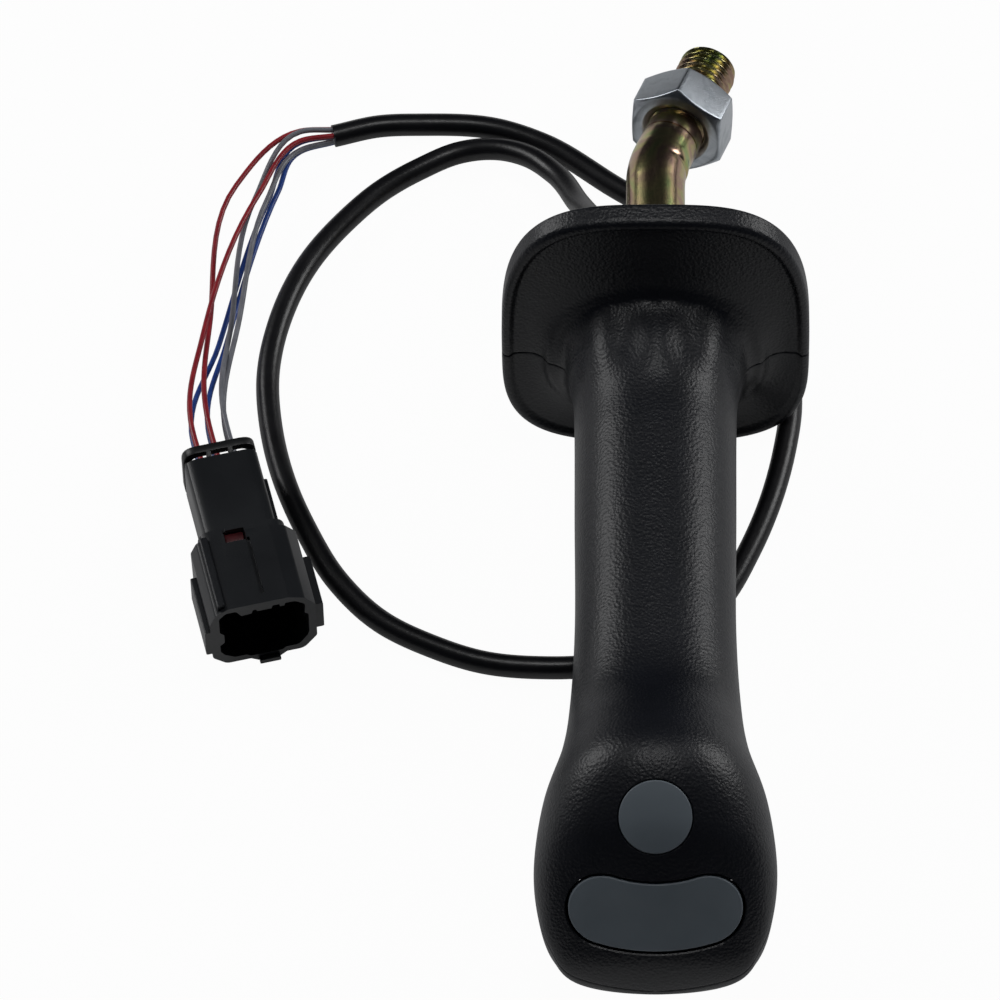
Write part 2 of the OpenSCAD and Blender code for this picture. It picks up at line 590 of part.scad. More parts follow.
// The wires run from the jacket's end to the connector, each with two points of its own.
jacket_mouth = cable_route[len(cable_route) - 1] + [-0.77, -0.21, 0];
module wire(spread, mid, late, c, r, tint) color(tint)
    sweep([jacket_mouth + spread, jacket_mouth + spread * 1.6 + [-8, -2.5, 1], mid, late,
           poleSpot(c, r, 12), poleSpot(c, r, -2.6)], wire_d, 11, 8);
module red_wire_a() wire([0, 1.6, 0.6], [-101, 62, 5.5], [-106, 22, 6], 0, 0.5, "#8c2a2a");
module grey_wire_a() wire([0, 0.6, 1.7], [-96.5, 59, 4], [-101, 22, 4.5], 1, 0.5, "#85878f");
module red_wire_b() wire([0, -1.0, 1.5], [-95.5, 58.5, 6.5], [-107.5, 14, 9.4], -1, 0.5, "#8c2a2a");
module grey_wire_b() wire([0, -1.6, 0], [-93.5, 57, 6], [-99, 22, 6.5], 1, -0.5, "#5d6b7a");
module blue_wire_a() wire([0, 0.9, -1.3], [-93.5, 59.5, 2], [-104, 16, 3], -1, -0.5, "#2a4a9a");
module blue_wire_b() wire([0, -0.8, -1.4], [-91, 61, 4], [-102, 18, 2.2], 0, -0.5, "#2a4a9a");

// Corners of a rounded rectangle, with its arcs as points.
function roundedBox(w, h, r) =
    [for (q = [0:3]) for (a = [0:15:90])
     [(q == 0 || q == 3 ? 1 : -1) * (w / 2 - r) + r * cos(90 * q + a),
      (q < 2 ? 1 : -1) * (h / 2 - r) + r * sin(90 * q + a)]];
// Extrudes an outline along the connector from one distance behind its rear face to another.
module along(from, to) translate([0, -from, core_z]) rotate([90, 0, 0]) linear_extrude(height = to - from) children();

holder_plate = 2;
slot_gap = 1.6;
seal_d = 3.6;
seal_length = 4;
shroud_start = rear_length - 1;
connector_length = shroud_start + shroud_length;
socket_depth = 19;
pin_free = 9;           // from the pins' tips to the mouth
lock_x = -2;
window = [5, 4.2];
module connector_housing() color("#1c1d20") atConnector() difference() {
    union() {
        along(holder_plate + slot_gap, rear_length) polygon(roundedBox(rear_width, rear_height, 3.2));
        along(shroud_start - 2.4, shroud_start + 1) polygon(roundedBox(shroud_width - 4.4, shroud_height - 2.4, 4));
        along(shroud_start, connector_length) polygon(roundedBox(shroud_width, shroud_height, 4.4));
        for (side = [-1, 1]) along(shroud_start + 5, connector_length - (side < 0 ? 0 : 2.5))
            translate([side * (shroud_width / 2 + 0.4), side < 0 ? -0.6 : -1.6]) square([1.8, 9], center = true);
        along(shroud_start + 3, connector_length) translate([0.6, -shroud_height / 2 + 1.2])
            square([6, 2.4], center = true);
    }
    along(connector_length - socket_depth, connector_length + 1) difference() {
        polygon(roundedBox(shroud_width - 2 * shroud_wall, shroud_height - 2 * shroud_wall, 3.2));
        translate([-7, shroud_height / 2 - 1.8]) square([2.4, 3.2], center = true);
        translate([3, shroud_height / 2 - 1.8]) square([1.4, 2.2], center = true);
    }
    atPoles() translate([0, 0, holder_plate + slot_gap - 1]) cylinder(h = seal_length + 1, d = seal_d);
    translate([lock_x - window[0] / 2, -shroud_start - 2.6, shroud_height - 5.2]) cube([window[0], window[1], 10]);
    translate([lock_x + 2.2, -connector_length - 1, shroud_height - 0.7]) cube([1, shroud_length - 3, 2]);
}
module connector_rear_holder() color("#17181a") atConnector() difference() {
    union() {
        along(0, holder_plate) polygon(roundedBox(rear_width, rear_height, 3.2));
        for (x = [-rear_width / 2 + 0.9, -2.6, 2.6, rear_width / 2 - 0.9]) for (side = [-1, 1])
            along(holder_plate - 0.5, holder_plate + slot_gap)
                translate([x, side * (rear_height / 2 - (abs(x) > 5 ? 3.4 : 0.7))]) square([1.4, 1.4], center = true);
    }
    atPoles() translate([0, 0, -1]) cylinder(h = holder_plate + 2, d = wire_d + 0.8);
}
module connector_lock() color("#7c2226") atConnector()
    translate([lock_x - window[0] / 2 + 0.2, -shroud_start - 2.4, shroud_height - 5.2])
        cube([window[0] - 0.4, window[1] - 0.9, 3.4]);
module connector_pins() color("#b9a46a") atConnector() atPoles()
    translate([0, 0, connector_length - socket_depth]) rotate_extrude()
        polygon([[0, 0], [0.75, 0], [0.75, socket_depth - pin_free - 0.8], [0.35, socket_depth - pin_free],
                 [0, socket_depth - pin_free]]);
module wire_seals() color("#b8b4a8") atConnector() atPoles() difference() {
    translate([0, 0, holder_plate + slot_gap]) cylinder(h = seal_length, d = seal_d);
    translate([0, 0, -1]) cylinder(h = holder_plate + slot_gap + 2.4, d = wire_d + 0.1);
}

place() front_shell();
place() rear_shell();
place() stud_rod();
place() lock_nut();
place() rod_cross_pin();
place() push_button();
place() rocker_cap();
place() rocker_pivot_pin();
place() switch_carrier();
place() carrier_screws();
place() button_microswitch();
place() rocker_microswitch_left();
place() rocker_microswitch_right();
place() rocker_plunger_left();
place() rocker_plunger_right();
place() shell_screws();
place() cable_grommet();
place() inner_cable();
place() inner_leads();
place() signal_cable();
place() red_wire_a();
place() red_wire_b();
place() blue_wire_a();
place() blue_wire_b();
place() grey_wire_a();
place() grey_wire_b();
place() connector_housing();
place() connector_rear_holder();
place() connector_lock();
place() connector_pins();
place() wire_seals();
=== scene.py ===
import math
from math import cos, pi, radians, sin

import bmesh
import bpy
import numpy as np
from mathutils import Matrix, Vector
from mathutils.bvhtree import BVHTree


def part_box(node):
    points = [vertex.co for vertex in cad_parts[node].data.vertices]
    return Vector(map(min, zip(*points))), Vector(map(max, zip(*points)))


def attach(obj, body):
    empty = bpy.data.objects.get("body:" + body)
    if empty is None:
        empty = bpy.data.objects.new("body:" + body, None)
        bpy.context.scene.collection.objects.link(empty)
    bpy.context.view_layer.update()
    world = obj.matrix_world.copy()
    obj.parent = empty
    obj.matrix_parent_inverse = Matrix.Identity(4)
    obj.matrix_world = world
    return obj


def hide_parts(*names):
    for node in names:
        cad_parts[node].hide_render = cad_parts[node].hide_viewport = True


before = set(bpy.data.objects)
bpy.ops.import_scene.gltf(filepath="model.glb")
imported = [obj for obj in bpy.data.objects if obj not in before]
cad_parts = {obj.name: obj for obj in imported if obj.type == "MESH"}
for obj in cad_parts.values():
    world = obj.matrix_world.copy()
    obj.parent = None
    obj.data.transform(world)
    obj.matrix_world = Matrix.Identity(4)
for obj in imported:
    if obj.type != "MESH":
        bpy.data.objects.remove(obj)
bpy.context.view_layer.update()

mm = 0.001

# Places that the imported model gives, in millimetres.
gripLength = 171
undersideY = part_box("front_shell")[0][1] / mm + gripLength
pinLow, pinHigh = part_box("rod_cross_pin")
seamZ = (pinLow[2] + pinHigh[2]) / 2 / mm
print("frame loaded: underside at", round(undersideY, 3), "parting plane at", round(seamZ, 3))


# Colours, nodes and meshes.
def colourOf(hexText):
    values = [int(hexText[i:i + 2], 16) / 255 for i in (1, 3, 5)]
    return tuple(v / 12.92 if v <= 0.04045 else ((v + 0.055) / 1.055) ** 2.4 for v in values) + (1.0,)


def addNode(tree, kind, settings=None, inputs=None, links=None):
    node = tree.nodes.new(kind)
    for name, value in (settings or {}).items():
        setattr(node, name, value)
    for name, value in (inputs or {}).items():
        node.inputs[name].default_value = value
    for name, source in (links or {}).items():
        tree.links.new(source, node.inputs[name])
    return node


def newMaterial(name, **values):
    material = bpy.data.materials.new(name)
    material.use_nodes = True
    tree = material.node_tree
    shader = tree.nodes["Principled BSDF"]
    for socket, value in values.items():
        shader.inputs[socket.replace("_", " ")].default_value = value
    coords = addNode(tree, "ShaderNodeTexCoord").outputs["Object"]
    return material, tree, shader, coords


def meshObject(name, vertices, faces, material, smoothAngle=35):
    mesh = bpy.data.meshes.new(name)
    mesh.from_pydata([Vector(v) * mm for v in vertices], [], faces)
    mesh.validate()
    obj = bpy.data.objects.new(name, mesh)
    bpy.context.scene.collection.objects.link(obj)
    mesh.materials.append(material)
    smoothEdges(obj, smoothAngle)
    return obj


def smoothEdges(obj, angle):
    obj.data.shade_smooth()
    obj.data.set_sharp_from_angle(angle=radians(angle))


def applyModifiers(obj):
    depsgraph = bpy.context.evaluated_depsgraph_get()
    mesh = bpy.data.meshes.new_from_object(obj.evaluated_get(depsgraph))
    obj.modifiers.clear()
    obj.data = mesh
    return obj


def combine(obj, other, operation):
    step = obj.modifiers.new(operation.lower(), "BOOLEAN")
    step.operation = operation
    step.object = other
    step.solver = "MANIFOLD"
    applyModifiers(obj)
    bpy.data.objects.remove(other)
    return obj


def softenEdges(obj, width, segments=2, angle=35):
    step = obj.modifiers.new("softenEdges", "BEVEL")
    step.width = width * mm
    step.segments = segments
    step.limit_method = "ANGLE"
    step.angle_limit = radians(angle)
    step.harden_normals = False
    applyModifiers(obj)
    smoothEdges(obj, 40)
    return obj


def finishPiece(obj, body, slot, *nodes):
    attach(obj, body)
    if nodes:
        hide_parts(*nodes)
    return obj


def ringFaces(rings, around):
    faces = []
    for j in range(rings - 1):
        for k in range(around):
            n = (k + 1) % around
            faces.append((j * around + k, j * around + n, (j + 1) * around + n, (j + 1) * around + k))
    return faces


def joinEnds(rings, around):
    # faces from the last ring back to the first
    last = (rings - 1) * around
    return [(last + k, last + (k + 1) % around, (k + 1) % around, k) for k in range(around)]


def endFans(rings, around):
    # triangles from the first and the last ring to two more points, which follow all the rings
    start, last = rings * around, (rings - 1) * around
    return [(start, (k + 1) % around, k) for k in range(around)] \
        + [(start + 1, last + k, last + (k + 1) % around) for k in range(around)]


def moved(x, y, z):
    return Matrix.Translation((x, y, z))


def turned(degrees, axis):
    return Matrix.Rotation(radians(degrees), 4, axis)


def roundAngles(steps):
    return np.linspace(0, 2 * pi, steps, endpoint=False)


def lathe(name, profile, place, material, steps=96, closeEnds=True):
    # profile is (radius, height) pairs from the first end to the last; place turns local Z to the axis
    vertices = [place @ Vector((r * cos(a), r * sin(a), z))
                for r, z in profile for a in roundAngles(steps)]
    faces = ringFaces(len(profile), steps)
    last = (len(profile) - 1) * steps
    if closeEnds:
        faces += [tuple(range(steps - 1, -1, -1)), tuple(last + k for k in range(steps))]
    else:
        faces += joinEnds(len(profile), steps)
    return meshObject(name, vertices, faces, material)


def prism(name, outline, low, high, place, material):
    # outline is (x, y) pairs, counter-clockwise seen from +Z
    n = len(outline)
    vertices = [place @ Vector((x, y, z)) for z in (low, high) for x, y in outline]
    faces = ringFaces(2, n) + [tuple(range(n - 1, -1, -1)), tuple(range(n, 2 * n))]
    return meshObject(name, vertices, faces, material)


# Camera, lights and floor.
studio = {
    "elevation": 55, "distance": 2.0, "lens": 311.8, "aim": (0, -0.00767, 0.03295), "shift": (-0.1555, -0.0035),
    "floorColour": "#f4f4f4", "paperGlow": 0.97, "paperMirror": 0.2,
    "worldColour": "#dfe8ff", "worldStrength": 0.02,
    # name, place, target, size and power: one box overhead and one to each side, behind the grip
    "softBoxes": (("overheadBox", (0.0, 0.12, 1.25), (0, -0.02, 0.03), (0.3, 0.22), 2.2),
                  ("leftBox", (-0.95, 0.5, 0.62), (-0.02, 0, 0.03), (0.42, 0.6), 4.0),
                  ("rightBox", (0.95, 0.5, 0.62), (0.0, 0, 0.03), (0.42, 0.6), 4.4)),
}


def makeStudio():
    scene = bpy.context.scene
    aim = Vector(studio["aim"])
    lean = radians(studio["elevation"])
    camera = bpy.data.objects.new("camera", bpy.data.cameras.new("camera"))
    camera.data.lens = studio["lens"]
    camera.data.clip_end = 20
    camera.data.shift_x, camera.data.shift_y = studio["shift"]
    camera.location = aim + studio["distance"] * Vector((0, -cos(lean), sin(lean)))
    camera.rotation_euler = (pi / 2 - lean, 0, 0)
    scene.collection.objects.link(camera)
    scene.camera = camera
    scene.view_settings.view_transform = "Standard"

    # The floor shows white to the camera and to glossy rays, and keeps a faint shadow.
    paper, tree, shader, _ = newMaterial("studioPaper", Base_Color=colourOf(studio["floorColour"]), Roughness=0.9)
    path = addNode(tree, "ShaderNodeLightPath")
    glow = addNode(tree, "ShaderNodeEmission", inputs={"Color": (1, 1, 1, 1), "Strength": 1.0})
    seen = addNode(tree, "ShaderNodeMath", {"operation": "MULTIPLY"}, {1: studio["paperGlow"]},
                   {0: path.outputs["Is Camera Ray"]})
    mirrored = addNode(tree, "ShaderNodeMath", {"operation": "MULTIPLY_ADD"}, {1: studio["paperMirror"]},
                       {0: path.outputs["Is Glossy Ray"], 2: seen.outputs[0]})
    both = addNode(tree, "ShaderNodeMath", {"operation": "MULTIPLY_ADD", "use_clamp": True}, {1: 1.0},
                   {0: path.outputs["Is Transmission Ray"], 2: mirrored.outputs[0]})
    blendIn = addNode(tree, "ShaderNodeMixShader",
                      links={0: both.outputs[0], 1: shader.outputs[0], 2: glow.outputs[0]})
    tree.links.new(blendIn.outputs[0], tree.nodes["Material Output"].inputs["Surface"])
    side = 3.0
    floor = meshObject("floor", [(x / mm, y / mm, -0.8) for x, y in
                                 ((-side, -side), (side, -side), (side, side), (-side, side))],
                       [(0, 1, 2, 3)], paper)

    world = bpy.data.worlds.new("softRoom")
    world.use_nodes = True
    scene.world = world
    tree = world.node_tree
    base = tree.nodes["Background"]
    base.inputs["Color"].default_value = colourOf(studio["worldColour"])
    base.inputs["Strength"].default_value = studio["worldStrength"]
    white = addNode(tree, "ShaderNodeBackground", inputs={"Color": (1, 1, 1, 1), "Strength": 1.0})
    path = addNode(tree, "ShaderNodeLightPath")
    mixed = addNode(tree, "ShaderNodeMixShader",
                    links={0: path.outputs["Is Camera Ray"], 1: base.outputs[0], 2: white.outputs[0]})
    tree.links.new(mixed.outputs[0], tree.nodes["World Output"].inputs["Surface"])

    for name, spot, target, size, power in studio["softBoxes"]:
        lamp = bpy.data.lights.new(name, "AREA")
        lamp.shape = "RECTANGLE"
        lamp.size, lamp.size_y = size
        lamp.energy = power
        light = bpy.data.objects.new(name, lamp)
        light.location = spot
        light.rotation_euler = (Vector(target) - Vector(spot)).to_track_quat("-Z", "Y").to_euler()
        scene.collection.objects.link(light)


makeStudio()
print("studio made")


# Finishes.
def plasticFinish(name, base, worn, roughness, grain, grainHeight, patchSize=60):
    # moulded plastic: a fine spark-eroded grain, with slightly glossier worn patches
    material, tree, shader, coords = newMaterial(name, Roughness=roughness, IOR=1.5)
    at = {"Vector": coords}
    patches = addNode(tree, "ShaderNodeTexNoise", inputs={"Scale": patchSize, "Detail": 3.0}, links=at)
    tint = addNode(tree, "ShaderNodeValToRGB", links={"Fac": patches.outputs["Fac"]})
    tint.color_ramp.elements[0].position = 0.35
    tint.color_ramp.elements[0].color = colourOf(base)
    tint.color_ramp.elements[1].position = 0.7
    tint.color_ramp.elements[1].color = colourOf(worn)
    gloss = addNode(tree, "ShaderNodeMapRange", inputs={"To Min": roughness - 0.05, "To Max": roughness + 0.06},
                    links={"Value": patches.outputs["Fac"]})
    tree.links.new(tint.outputs["Color"], shader.inputs["Base Color"])
    tree.links.new(gloss.outputs["Result"], shader.inputs["Roughness"])
    cells = addNode(tree, "ShaderNodeTexVoronoi", {"feature": "SMOOTH_F1"},
                    {"Scale": 1 / (grain * mm), "Smoothness": 0.6}, at)
    fine = addNode(tree, "ShaderNodeTexNoise", inputs={"Scale": 2.2 / (grain * mm), "Detail": 2.0}, links=at)
    both = addNode(tree, "ShaderNodeMath", {"operation": "MULTIPLY_ADD"}, {1: 0.45},
                   {0: fine.outputs["Fac"], 2: cells.outputs["Distance"]})
    bump = addNode(tree, "ShaderNodeBump", inputs={"Strength": 1.0, "Distance": grainHeight * mm},
                   links={"Height": both.outputs[0]})
    tree.links.new(bump.outputs["Normal"], shader.inputs["Normal"])
    return material


def metalFinish(name, tints, roughness, blotch, grain=0.5, grainHeight=0.01):
    # plated steel: the colour drifts over a few millimetres, over a faint machined grain
    material, tree, shader, coords = newMaterial(name, Metallic=1.0, Roughness=roughness)
    at = {"Vector": coords}
    drift = addNode(tree, "ShaderNodeTexNoise",
                    inputs={"Scale": 1 / (blotch * mm), "Detail": 3.0, "Distortion": 0.8}, links=at)
    tint = addNode(tree, "ShaderNodeValToRGB", links={"Fac": drift.outputs["Fac"]})
    ramp = tint.color_ramp
    while len(ramp.elements) < len(tints):
        ramp.elements.new(0.5)
    for i, shade in enumerate(tints):
        ramp.elements[i].position = 0.3 + 0.4 * i / (len(tints) - 1)
        ramp.elements[i].color = colourOf(shade)
    tree.links.new(tint.outputs["Color"], shader.inputs["Base Color"])
    speck = addNode(tree, "ShaderNodeTexNoise", inputs={"Scale": 1 / (grain * mm), "Detail": 4.0}, links=at)
    gloss = addNode(tree, "ShaderNodeMapRange", inputs={"To Min": roughness - 0.08, "To Max": roughness + 0.12},
                    links={"Value": speck.outputs["Fac"]})
    bump = addNode(tree, "ShaderNodeBump", inputs={"Strength": 1.0, "Distance": grainHeight * mm},
                   links={"Height": speck.outputs["Fac"]})
    tree.links.new(gloss.outputs["Result"], shader.inputs["Roughness"])
    tree.links.new(bump.outputs["Normal"], shader.inputs["Normal"])
    return material


# Glass-filled nylon with a leather grain looks soft and dark, with bright edges where it turns away.
gripNylon = plasticFinish("grainedNylon", "#0d1017", "#12151d", 0.4, 0.7, 0.085)
rearNylon = plasticFinish("grainedNylonRear", "#0d1017", "#13161e", 0.43, 0.7, 0.075)
# Satin ABS caps are slate grey and nearly even.
capAbs = plasticFinish("satinAbs", "#7a848c", "#828c94", 0.42, 0.5, 0.006)
# Moulded PBT of the connector shines more on its edges.
connectorPbt = plasticFinish("mouldedPbt", "#16191d", "#1d2024", 0.36, 0.4, 0.01)
holderPbt = plasticFinish("mouldedPbtHolder", "#101113", "#17181a", 0.4, 0.4, 0.01)
lockPbt = plasticFinish("redPbt", "#4a1519", "#571c21", 0.4, 0.4, 0.01)
carrierNylon = plasticFinish("glassNylon", "#2f3a3f", "#37444a", 0.5, 0.5, 0.01)
switchPhenolic = plasticFinish("switchPhenolic", "#191a1b", "#232425", 0.45, 0.5, 0.01)
plungerAcetal = plasticFinish("acetal", "#cfc9b8", "#d8d2c0", 0.35, 0.5, 0.005)
# PVC sheath: satin, softly mottled where it was coiled.
cablePvc = plasticFinish("pvcSheath", "#0f0f12", "#161619", 0.34, 0.9, 0.02, 120)
grommetRubber = plasticFinish("mouldedRubber", "#161618", "#1d1d20", 0.6, 0.6, 0.01)
sealSilicone = plasticFinish("siliconeSeal", "#6a665c", "#757065", 0.5, 0.5, 0.005)
leadPvc = plasticFinish("leadPvc", "#7d2a2c", "#88302f", 0.35, 0.6, 0.005)
wireFinish = {
    "red": plasticFinish("redWirePvc", "#9a2430", "#b03038", 0.34, 0.8, 0.006, 300),
    "blue": plasticFinish("blueWirePvc", "#27489a", "#3058ac", 0.34, 0.8, 0.006, 300),
    "grey": plasticFinish("greyWirePvc", "#7c7e86", "#8d8f97", 0.34, 0.8, 0.006, 300),
}
# Yellow chromate over zinc shifts between straw, pink and green.
chromateTints = ["#a0ae74", "#bfb182", "#ad8f80", "#b7ae77", "#8c9c6c"]
yellowZinc = metalFinish("yellowChromate", chromateTints, 0.2, 10.0, 0.5, 0.004)
brightZinc = metalFinish("brightZinc", ["#a3aab1", "#bdc3c9", "#b0b6bc"], 0.3, 5.0, 0.35, 0.03)
plainSteel = metalFinish("plainSteel", ["#8f9498", "#a8acb0"], 0.35, 4.0)
tinBrass = metalFinish("tinnedBrass", ["#b9a46a", "#c9b57c"], 0.3, 3.0)
print("finishes made")


# Cable and wires, on the routes of the solids.
cableShape = {
    "diameter": 5.5, "x": -4, "up": 11.55, "out": 3.7,
    "route": [(-6, 15, 39.5), (-9.5, 24, 35), (-14, 35, 27), (-18.5, 49, 16), (-24, 62, 10), (-31, 69.5, 7.5),
              (-38, 73, 5.5), (-47, 73.5, 3.6), (-57, 69, 2.8), (-66, 62.5, 2.8), (-74, 54, 2.8), (-83, 41, 2.8),
              (-90, 22, 2.8), (-92, 8, 2.8), (-91, -7, 2.8), (-88, -21, 2.8), (-82, -37, 2.8), (-74, -52, 2.8),
              (-64, -63, 2.8), (-52, -70, 2.8), (-40, -74.5, 2.8), (-27, -76, 2.8), (-12, -75, 2.8), (3, -69, 2.8),
              (15, -57, 2.8), (22, -43, 2.8), (30.5, -14, 2.8), (32, -2, 2.8), (31.5, 10, 2.8),
              (27.5, 26, 2.8), (18, 41, 2.8), (5, 53, 2.8), (-9, 63, 2.8), (-28, 77, 2.8),
              (-38, 81, 2.8), (-57, 82.5, 2.8), (-67, 82, 2.8), (-78, 79, 2.8)],
}
connectorPlace = {"x": -102.5, "y": -24, "yaw": 14, "centreZ": 11.5, "pitch": 4, "rowPitch": 4.8}


def connectorSpot(x, y, z):
    a = radians(connectorPlace["yaw"])
    return (connectorPlace["x"] + x * cos(a) - y * sin(a),
            connectorPlace["y"] + x * sin(a) + y * cos(a), z)


def poleSpot(column, row, y):
    place = connectorPlace
    return connectorSpot(column * place["pitch"], y, place["centreZ"] + row * place["rowPitch"])


def knotHandles(points):
    # handles as long as a third of the way to the next point, along the circle through three points
    handles = []
    for i, here in enumerate(points):
        back = here - points[i - 1] if i else points[1] - here
        ahead = points[i + 1] - here if i + 1 < len(points) else back
        along = (back.normalized() * ahead.length + ahead.normalized() * back.length).normalized()
        handles.append((here - along * back.length / 3, here + along * ahead.length / 3))
    return handles


def tubeCurve(name, route, diameter, material):
    points = [Vector(p) + Vector((0, undersideY, 0)) for p in route]
    curve = bpy.data.curves.new(name, "CURVE")
    curve.dimensions = "3D"
    curve.bevel_depth = diameter / 2 * mm
    curve.bevel_resolution = 6 if diameter > 3 else 3
    curve.resolution_u = 10
    curve.use_fill_caps = True
    spline = curve.splines.new("BEZIER")
    spline.bezier_points.add(len(points) - 1)
    for knot, place, (left, right) in zip(spline.bezier_points, points, knotHandles(points)):
        knot.handle_left_type = knot.handle_right_type = "FREE"
        knot.co = place * mm
        knot.handle_left = left * mm
        knot.handle_right = right * mm
    curve.materials.append(material)
    obj = bpy.data.objects.new(name, curve)
    bpy.context.scene.collection.objects.link(obj)
    return obj, points


def curveLength(points, steps=40):
    total, handles = 0, knotHandles(points)
    for i in range(len(points) - 1):
        a, b, c, d = points[i], handles[i][1], handles[i + 1][0], points[i + 1]
        last = a
        for k in range(1, steps + 1):
            t = k / steps
            here = (1 - t) ** 3 * a + 3 * t * (1 - t) ** 2 * b + 3 * t * t * (1 - t) * c + t ** 3 * d
            total += (here - last).length
            last = here
    return total


cableRoute = [(cableShape["x"], cableShape["out"], seamZ + cableShape["up"]),
              (cableShape["x"], cableShape["out"] + 3.9, seamZ + cableShape["up"])] + cableShape["route"]
signalCable, cablePoints = tubeCurve("signalCable", cableRoute, cableShape["diameter"], cablePvc)
wireShape = {
    "diameter": 1.3,
    "red_wire_a": ("red", (0, 1.6, 0.6), (-101, 62, 5.5), (-106, 22, 6), 0, 0.5),
    "grey_wire_a": ("grey", (0, 0.6, 1.7), (-96.5, 59, 4), (-101, 22, 4.5), 1, 0.5),
    "red_wire_b": ("red", (0, -1.0, 1.5), (-95.5, 58.5, 6.5), (-107.5, 14, 9.4), -1, 0.5),
    "grey_wire_b": ("grey", (0, -1.6, 0), (-93.5, 57, 6), (-99, 22, 6.5), 1, -0.5),
    "blue_wire_a": ("blue", (0, 0.9, -1.3), (-93.5, 59.5, 2), (-104, 16, 3), -1, -0.5),
    "blue_wire_b": ("blue", (0, -0.8, -1.4), (-91, 61, 4), (-102, 18, 2.2), 0, -0.5),
}
jacketMouth = Vector(cableRoute[-1])
wires = {}
for node, (tint, spread, mid, late, column, row) in [(k, v) for k, v in wireShape.items() if k != "diameter"]:
    spread = Vector(spread)
    route = [jacketMouth + spread, jacketMouth + spread * 1.6 + Vector((-8, -2.5, 1)), mid, late,
             poleSpot(column, row, 12), poleSpot(column, row, -2.6)]
    name = tint + "Wire" + node[-1].upper()
    wires[node] = tubeCurve(name, route, wireShape["diameter"], wireFinish[tint]) + (tint,)
print("cable and wires made, cable", round(curveLength(cablePoints), 1), "mm")


# Grip shells.
stem = {"width": 37.4, "above": 18, "below": 17}
head = {"width": 54.8, "above": 27.5}
handRest = {"width": 72, "above": 44.5, "below": 29.2, "thick": 5, "bead": 1.6, "lean": 8, "squareness": 3.3}
skin = {"ringSpacing": 0.75, "halfPoints": 140, "grooveDepth": 0.2, "grooveWidth": 0.55}
neckAt = handRest["thick"] / cos(radians(handRest["lean"])) + 0.1


def gripStations():
    # distance from the underside, parting height, lean, half width, above, below, squareness
    w, a, b = stem["width"] / 2, stem["above"], stem["below"]
    hw, ha, lean, s, length = head["width"] / 2, head["above"], handRest["lean"], seamZ, gripLength
    return np.array([
        (neckAt, s, lean, w + 8.4, a + 6.5, b + 4, 2.3),
        (neckAt + 1.5, s, lean, w + 7, a + 5, b + 3, 2.3),
        (neckAt + 3.5, s, lean, w + 4, a + 3, b + 1.8, 2.3),
        (neckAt + 8.5, s, lean * 0.7, w + 1.6, a + 1.6, b + 0.6, 2.3),
        (neckAt + 17.5, s, lean * 0.2, w + 0.3, a + 0.7, b, 2.3),
        (length - 117, s, 0, w, a, b, 2.3),
        (length - 88, s, 0, w - 0.2, a - 0.4, b, 2.3),
        (length - 66, s, 0, w + 0.8, a + 0.4, b + 1, 2.3),
        (length - 52, s - 0.3, 0, hw - 6, ha - 3.6, b + 5.5, 2.25),
        (length - 38, s - 0.9, 0, hw - 1.8, ha, s - 2.2, 2.2),
        (length - 24, s - 2, 0, hw, ha - 5.5, s - 2, 2.2),
        (length - 14, s - 4.5, 0, hw - 1, ha - 13.4, s - 4.8, 2.2),
        (length - 7, s - 8, 0, hw - 3.7, ha - 19.5, s - 10.4, 2.2),
        (length - 2, s - 12.5, 0, hw - 9.6, ha - 22.2, s - 22, 2.1),
        (length, s - 15, 0, 0, 0, 0, 2)])


stations = gripStations()
lastStation = len(stations) - 1


def stationAt(i):
    if i < 0:
        return 2 * stations[0] - stations[1]
    if i <= lastStation:
        return stations[i]
    s = stations[lastStation - 1]
    return np.array([s[0], s[1], s[2], -s[3], -s[5], -s[4], s[6]])


def sectionAt(u):
    i = min(int(math.floor(u)), lastStation - 1)
    a, b, c, d = (stationAt(i + k) for k in (-1, 0, 1, 2))
    t = u - i
    return 0.5 * (2 * b + (c - a) * t + (2 * a - 5 * b + 4 * c - d) * t ** 2 + (3 * b - a - 3 * c + d) * t ** 3)


def sectionPoints(s, degrees, inset=0.0):
    # points of a section at angles round it, in part coordinates with the underside at y = 0
    a = np.radians(np.asarray(degrees, float))
    e = 2 / s[6]
    reach = np.where(np.sin(a) > 0, max(s[4] - inset, 0), max(s[5] - inset, 0))
    h = reach * np.sign(np.sin(a)) * np.abs(np.sin(a)) ** e
    lean = radians(s[2])
    x = max(s[3] - inset, 0) * np.sign(np.cos(a)) * np.abs(np.cos(a)) ** e
    return np.stack([x, -s[0] + h * sin(lean), s[1] + h * cos(lean)], axis=-1)


def restSection(height, inset):
    lean = radians(handRest["lean"])
    return np.array([height / cos(lean), seamZ, handRest["lean"], handRest["width"] / 2 - inset,
                     handRest["above"] - height * math.tan(lean) - inset,
                     handRest["below"] + height * math.tan(lean) - inset, handRest["squareness"]])


def restProfile():
    # heights over the underside and insets: rounded lower edge, side, raised bead, then the dished face
    top, bead = handRest["thick"], handRest["bead"]
    lower = [(0.9 * (1 - cos(a)), 0.9 * (1 - sin(a))) for a in np.linspace(0, pi / 2, 7)]
    side = [(h, 0.0) for h in np.linspace(1.6, top - 0.9, 5)]
    crown = [(top - 0.9 + (bead - 0.1) * sin(a), 1.5 * (1 - cos(a)))
             for a in np.linspace(0.12, pi / 2, 10)]
    inner = [(top + bead - 1.0 - 0.95 * (1 - cos(a)) / 2, 1.5 + 1.7 * a / pi)
             for a in np.linspace(0.2, pi, 10)]
    dish = [(top - 0.35 - 0.35 * t, 3.2 + 4.2 * t) for t in (0.12, 0.3, 0.5, 0.75, 1.0)]
    return lower + side + crown + inner + dish


